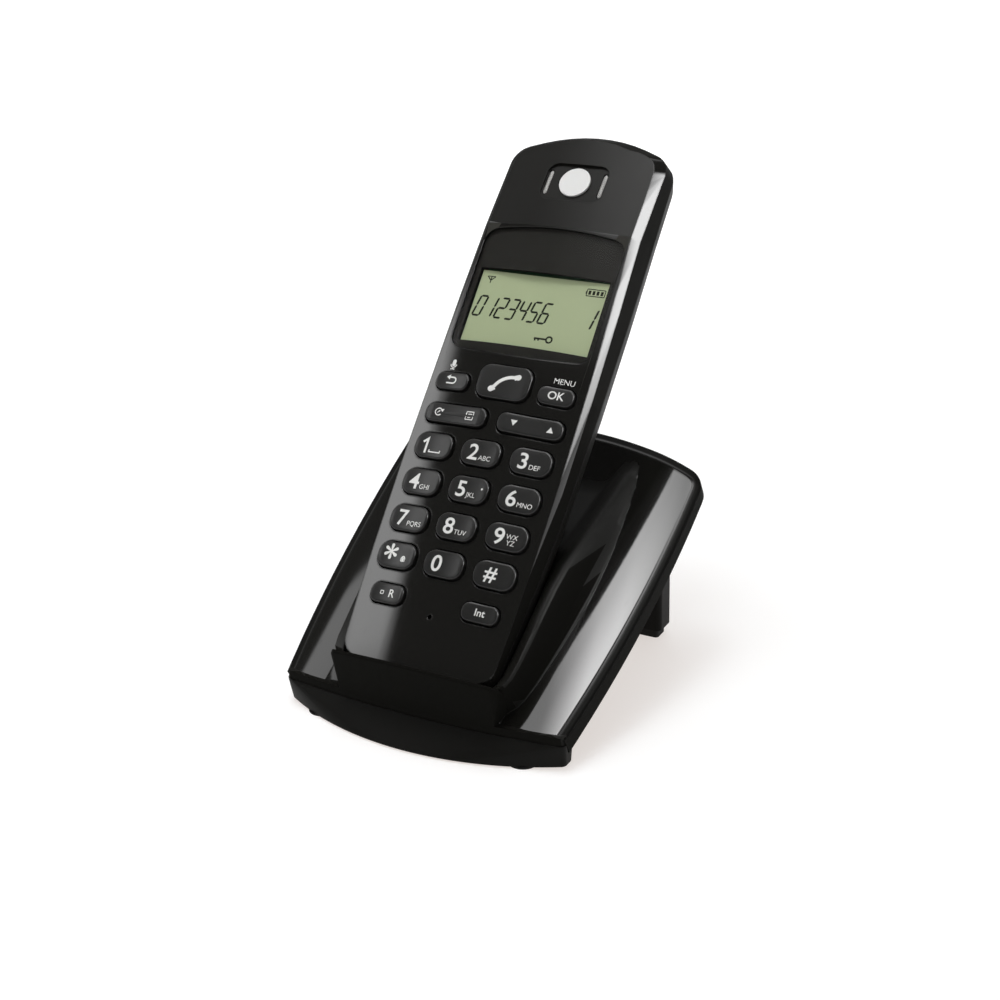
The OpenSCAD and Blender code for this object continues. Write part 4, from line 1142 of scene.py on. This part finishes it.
def make_floor():
    """Paper that looks white far off. Close to the phone it glows less and warm over a cool colour,
    so that it is white where lit and the phone's shadow on it takes a painted warm tint; as a light
    it gives less than it shows."""
    form = bmesh.new()
    corners = ((-FLOOR_HALF, -FLOOR_HALF), (FLOOR_HALF, -FLOOR_HALF),
               (FLOOR_HALF, FLOOR_HALF), (-FLOOR_HALF, FLOOR_HALF))
    form.faces.new([form.verts.new((x, y, 0.0)) for x, y in corners])
    mesh = bpy.data.meshes.new("floor")
    form.to_mesh(mesh)
    form.free()
    floor = bpy.data.objects.new("floor", mesh)
    bpy.context.collection.objects.link(floor)
    material, tree, shader = new_material("floor_paper", (0.5, 0.5, 0.5), 0.9, 0.0)
    away = tree.nodes.new("ShaderNodeVectorMath")
    away.operation = "LENGTH"
    tree.links.new(object_place(tree), away.inputs[0])
    far = remap(tree, away.outputs["Value"], NEAR_FLOOR, FAR_FLOOR, 0.0, 1.0)
    tree.links.new(mix_colour(tree, far, (0.42, 0.47, 0.5), (0.3, 0.3, 0.3)),
                   shader.inputs["Base Color"])
    # A warm glow near the phone over a cool colour: white where lit, a painted warm tint in shadow.
    tree.links.new(mix_colour(tree, far, (0.65, 0.6, 0.57), (1.0, 1.0, 1.0)),
                   shader.inputs["Emission Color"])
    path = tree.nodes.new("ShaderNodeLightPath")
    seen = calculate(tree, "MAXIMUM", path.outputs["Is Camera Ray"], in_mirrors(tree, path))
    tree.links.new(calculate(tree, "MAXIMUM", seen, FLOOR_BOUNCE),
                   shader.inputs["Emission Strength"])
    mesh.materials.append(material)


def make_world():
    """White all round for what is seen directly, darker overhead in mirror images, and a plain fill
    light."""
    world = bpy.data.worlds.new("studio")
    bpy.context.scene.world = world
    world.use_nodes = True
    tree = world.node_tree
    tree.nodes.clear()
    result = tree.nodes.new("ShaderNodeOutputWorld")
    light = tree.nodes.new("ShaderNodeBackground")
    light.inputs["Color"].default_value = (1.0, 1.0, 1.0, 1.0)
    axes = split_axes(tree, tree.nodes.new("ShaderNodeTexCoord").outputs["Generated"])
    walls = remap(tree, axes["Z"], HORIZON_TO, CEILING_FROM, HORIZON, CEILING)
    path = tree.nodes.new("ShaderNodeLightPath")
    lit = calculate(tree, "MULTIPLY_ADD", in_mirrors(tree, path),
                    calculate(tree, "SUBTRACT", walls, FILL_LIGHT), FILL_LIGHT)
    tree.links.new(calculate(tree, "MAXIMUM", lit, path.outputs["Is Camera Ray"]),
                   light.inputs["Strength"])
    tree.links.new(light.outputs[0], result.inputs[0])


make_floor()
make_world()


def uneven_cloth(tree, across, along):
    """How bright the overhead cloth is: more so towards one side, less so towards both ends."""
    side = remap(tree, across, 0.45, 0.7, 1.25, 2.0)
    away = calculate(tree, "ABSOLUTE", calculate(tree, "SUBTRACT", along, 0.43))
    return calculate(tree, "MULTIPLY", side, remap(tree, away, 0.05, 0.22, 1.0, 0.35))


def aimed(place):
    """A stand at a place, for a softbox that faces the middle of the object."""
    turn = (AIM - Vector(place)).to_track_quat("-Z", "Y")
    return Matrix.Translation(place) @ turn.to_matrix().to_4x4()


def hung(place, turn=0.0):
    """A stand for a softbox that hangs level overhead, turned about the upright."""
    return Matrix.Translation(place) @ Matrix.Rotation(math.radians(turn), 4, "Z")


def softbox(name, stand, size, radiance, feather, cloth=None, mirrored_only=False):
    """A rectangular softbox that falls off towards its rim, over a share of its width and height
    given by feather. Its cloth may be uneven, and it may show in mirror images only."""
    data = bpy.data.lights.new(name, "AREA")
    data.shape = "RECTANGLE"
    data.size, data.size_y = size
    data.energy = radiance * math.pi * size[0] * size[1]
    data.use_nodes = True
    tree = data.node_tree
    axes = split_axes(tree, tree.nodes.new("ShaderNodeNewGeometry").outputs["Parametric"])
    share = 1.0
    for axis in ("X", "Y"):
        away = calculate(tree, "ABSOLUTE", calculate(tree, "SUBTRACT", axes[axis], 0.5))
        share = calculate(tree, "MULTIPLY", remap(tree, away, 0.5 - feather, 0.5, 1.0, 0.0), share)
    if cloth:
        share = calculate(tree, "MULTIPLY", cloth(tree, axes["X"], axes["Y"]), share)
    tree.links.new(share, tree.nodes["Emission"].inputs["Strength"])
    lamp = bpy.data.objects.new(name, data)
    lamp.matrix_world = stand
    lamp.visible_camera = False
    lamp.visible_diffuse = not mirrored_only
    bpy.context.collection.objects.link(lamp)


softbox("overhead_box", hung((-0.13, 0.05, 0.9), -36.5), (0.46, 0.62), 7.4, 0.12, uneven_cloth)
softbox("left_box", hung((-0.98, -0.5, 0.9)), (0.44, 0.66), 4.5, 0.2)
softbox("left_rear_box", hung((-0.69, -0.01, 0.9)), (0.3, 0.2), 2.4, 0.1)
softbox("rear_box", aimed((-0.25, 0.95, 0.85)), (0.9, 0.6), 1.6, 0.25)
softbox("right_box", aimed((1.0, 0.24, 0.62)), (0.36, 0.9), 18.0, 0.25, mirrored_only=True)
softbox("overhead_right_box", hung((0.33, 0.1, 0.9), 36.5), (0.4, 0.62), 5.0, 0.2,
        mirrored_only=True)
softbox("front_sheen_box", hung((-0.1, -0.18, 0.9)), (0.62, 0.5), 3.0, 0.45, mirrored_only=True)

bpy.context.scene.view_settings.view_transform = "Standard"
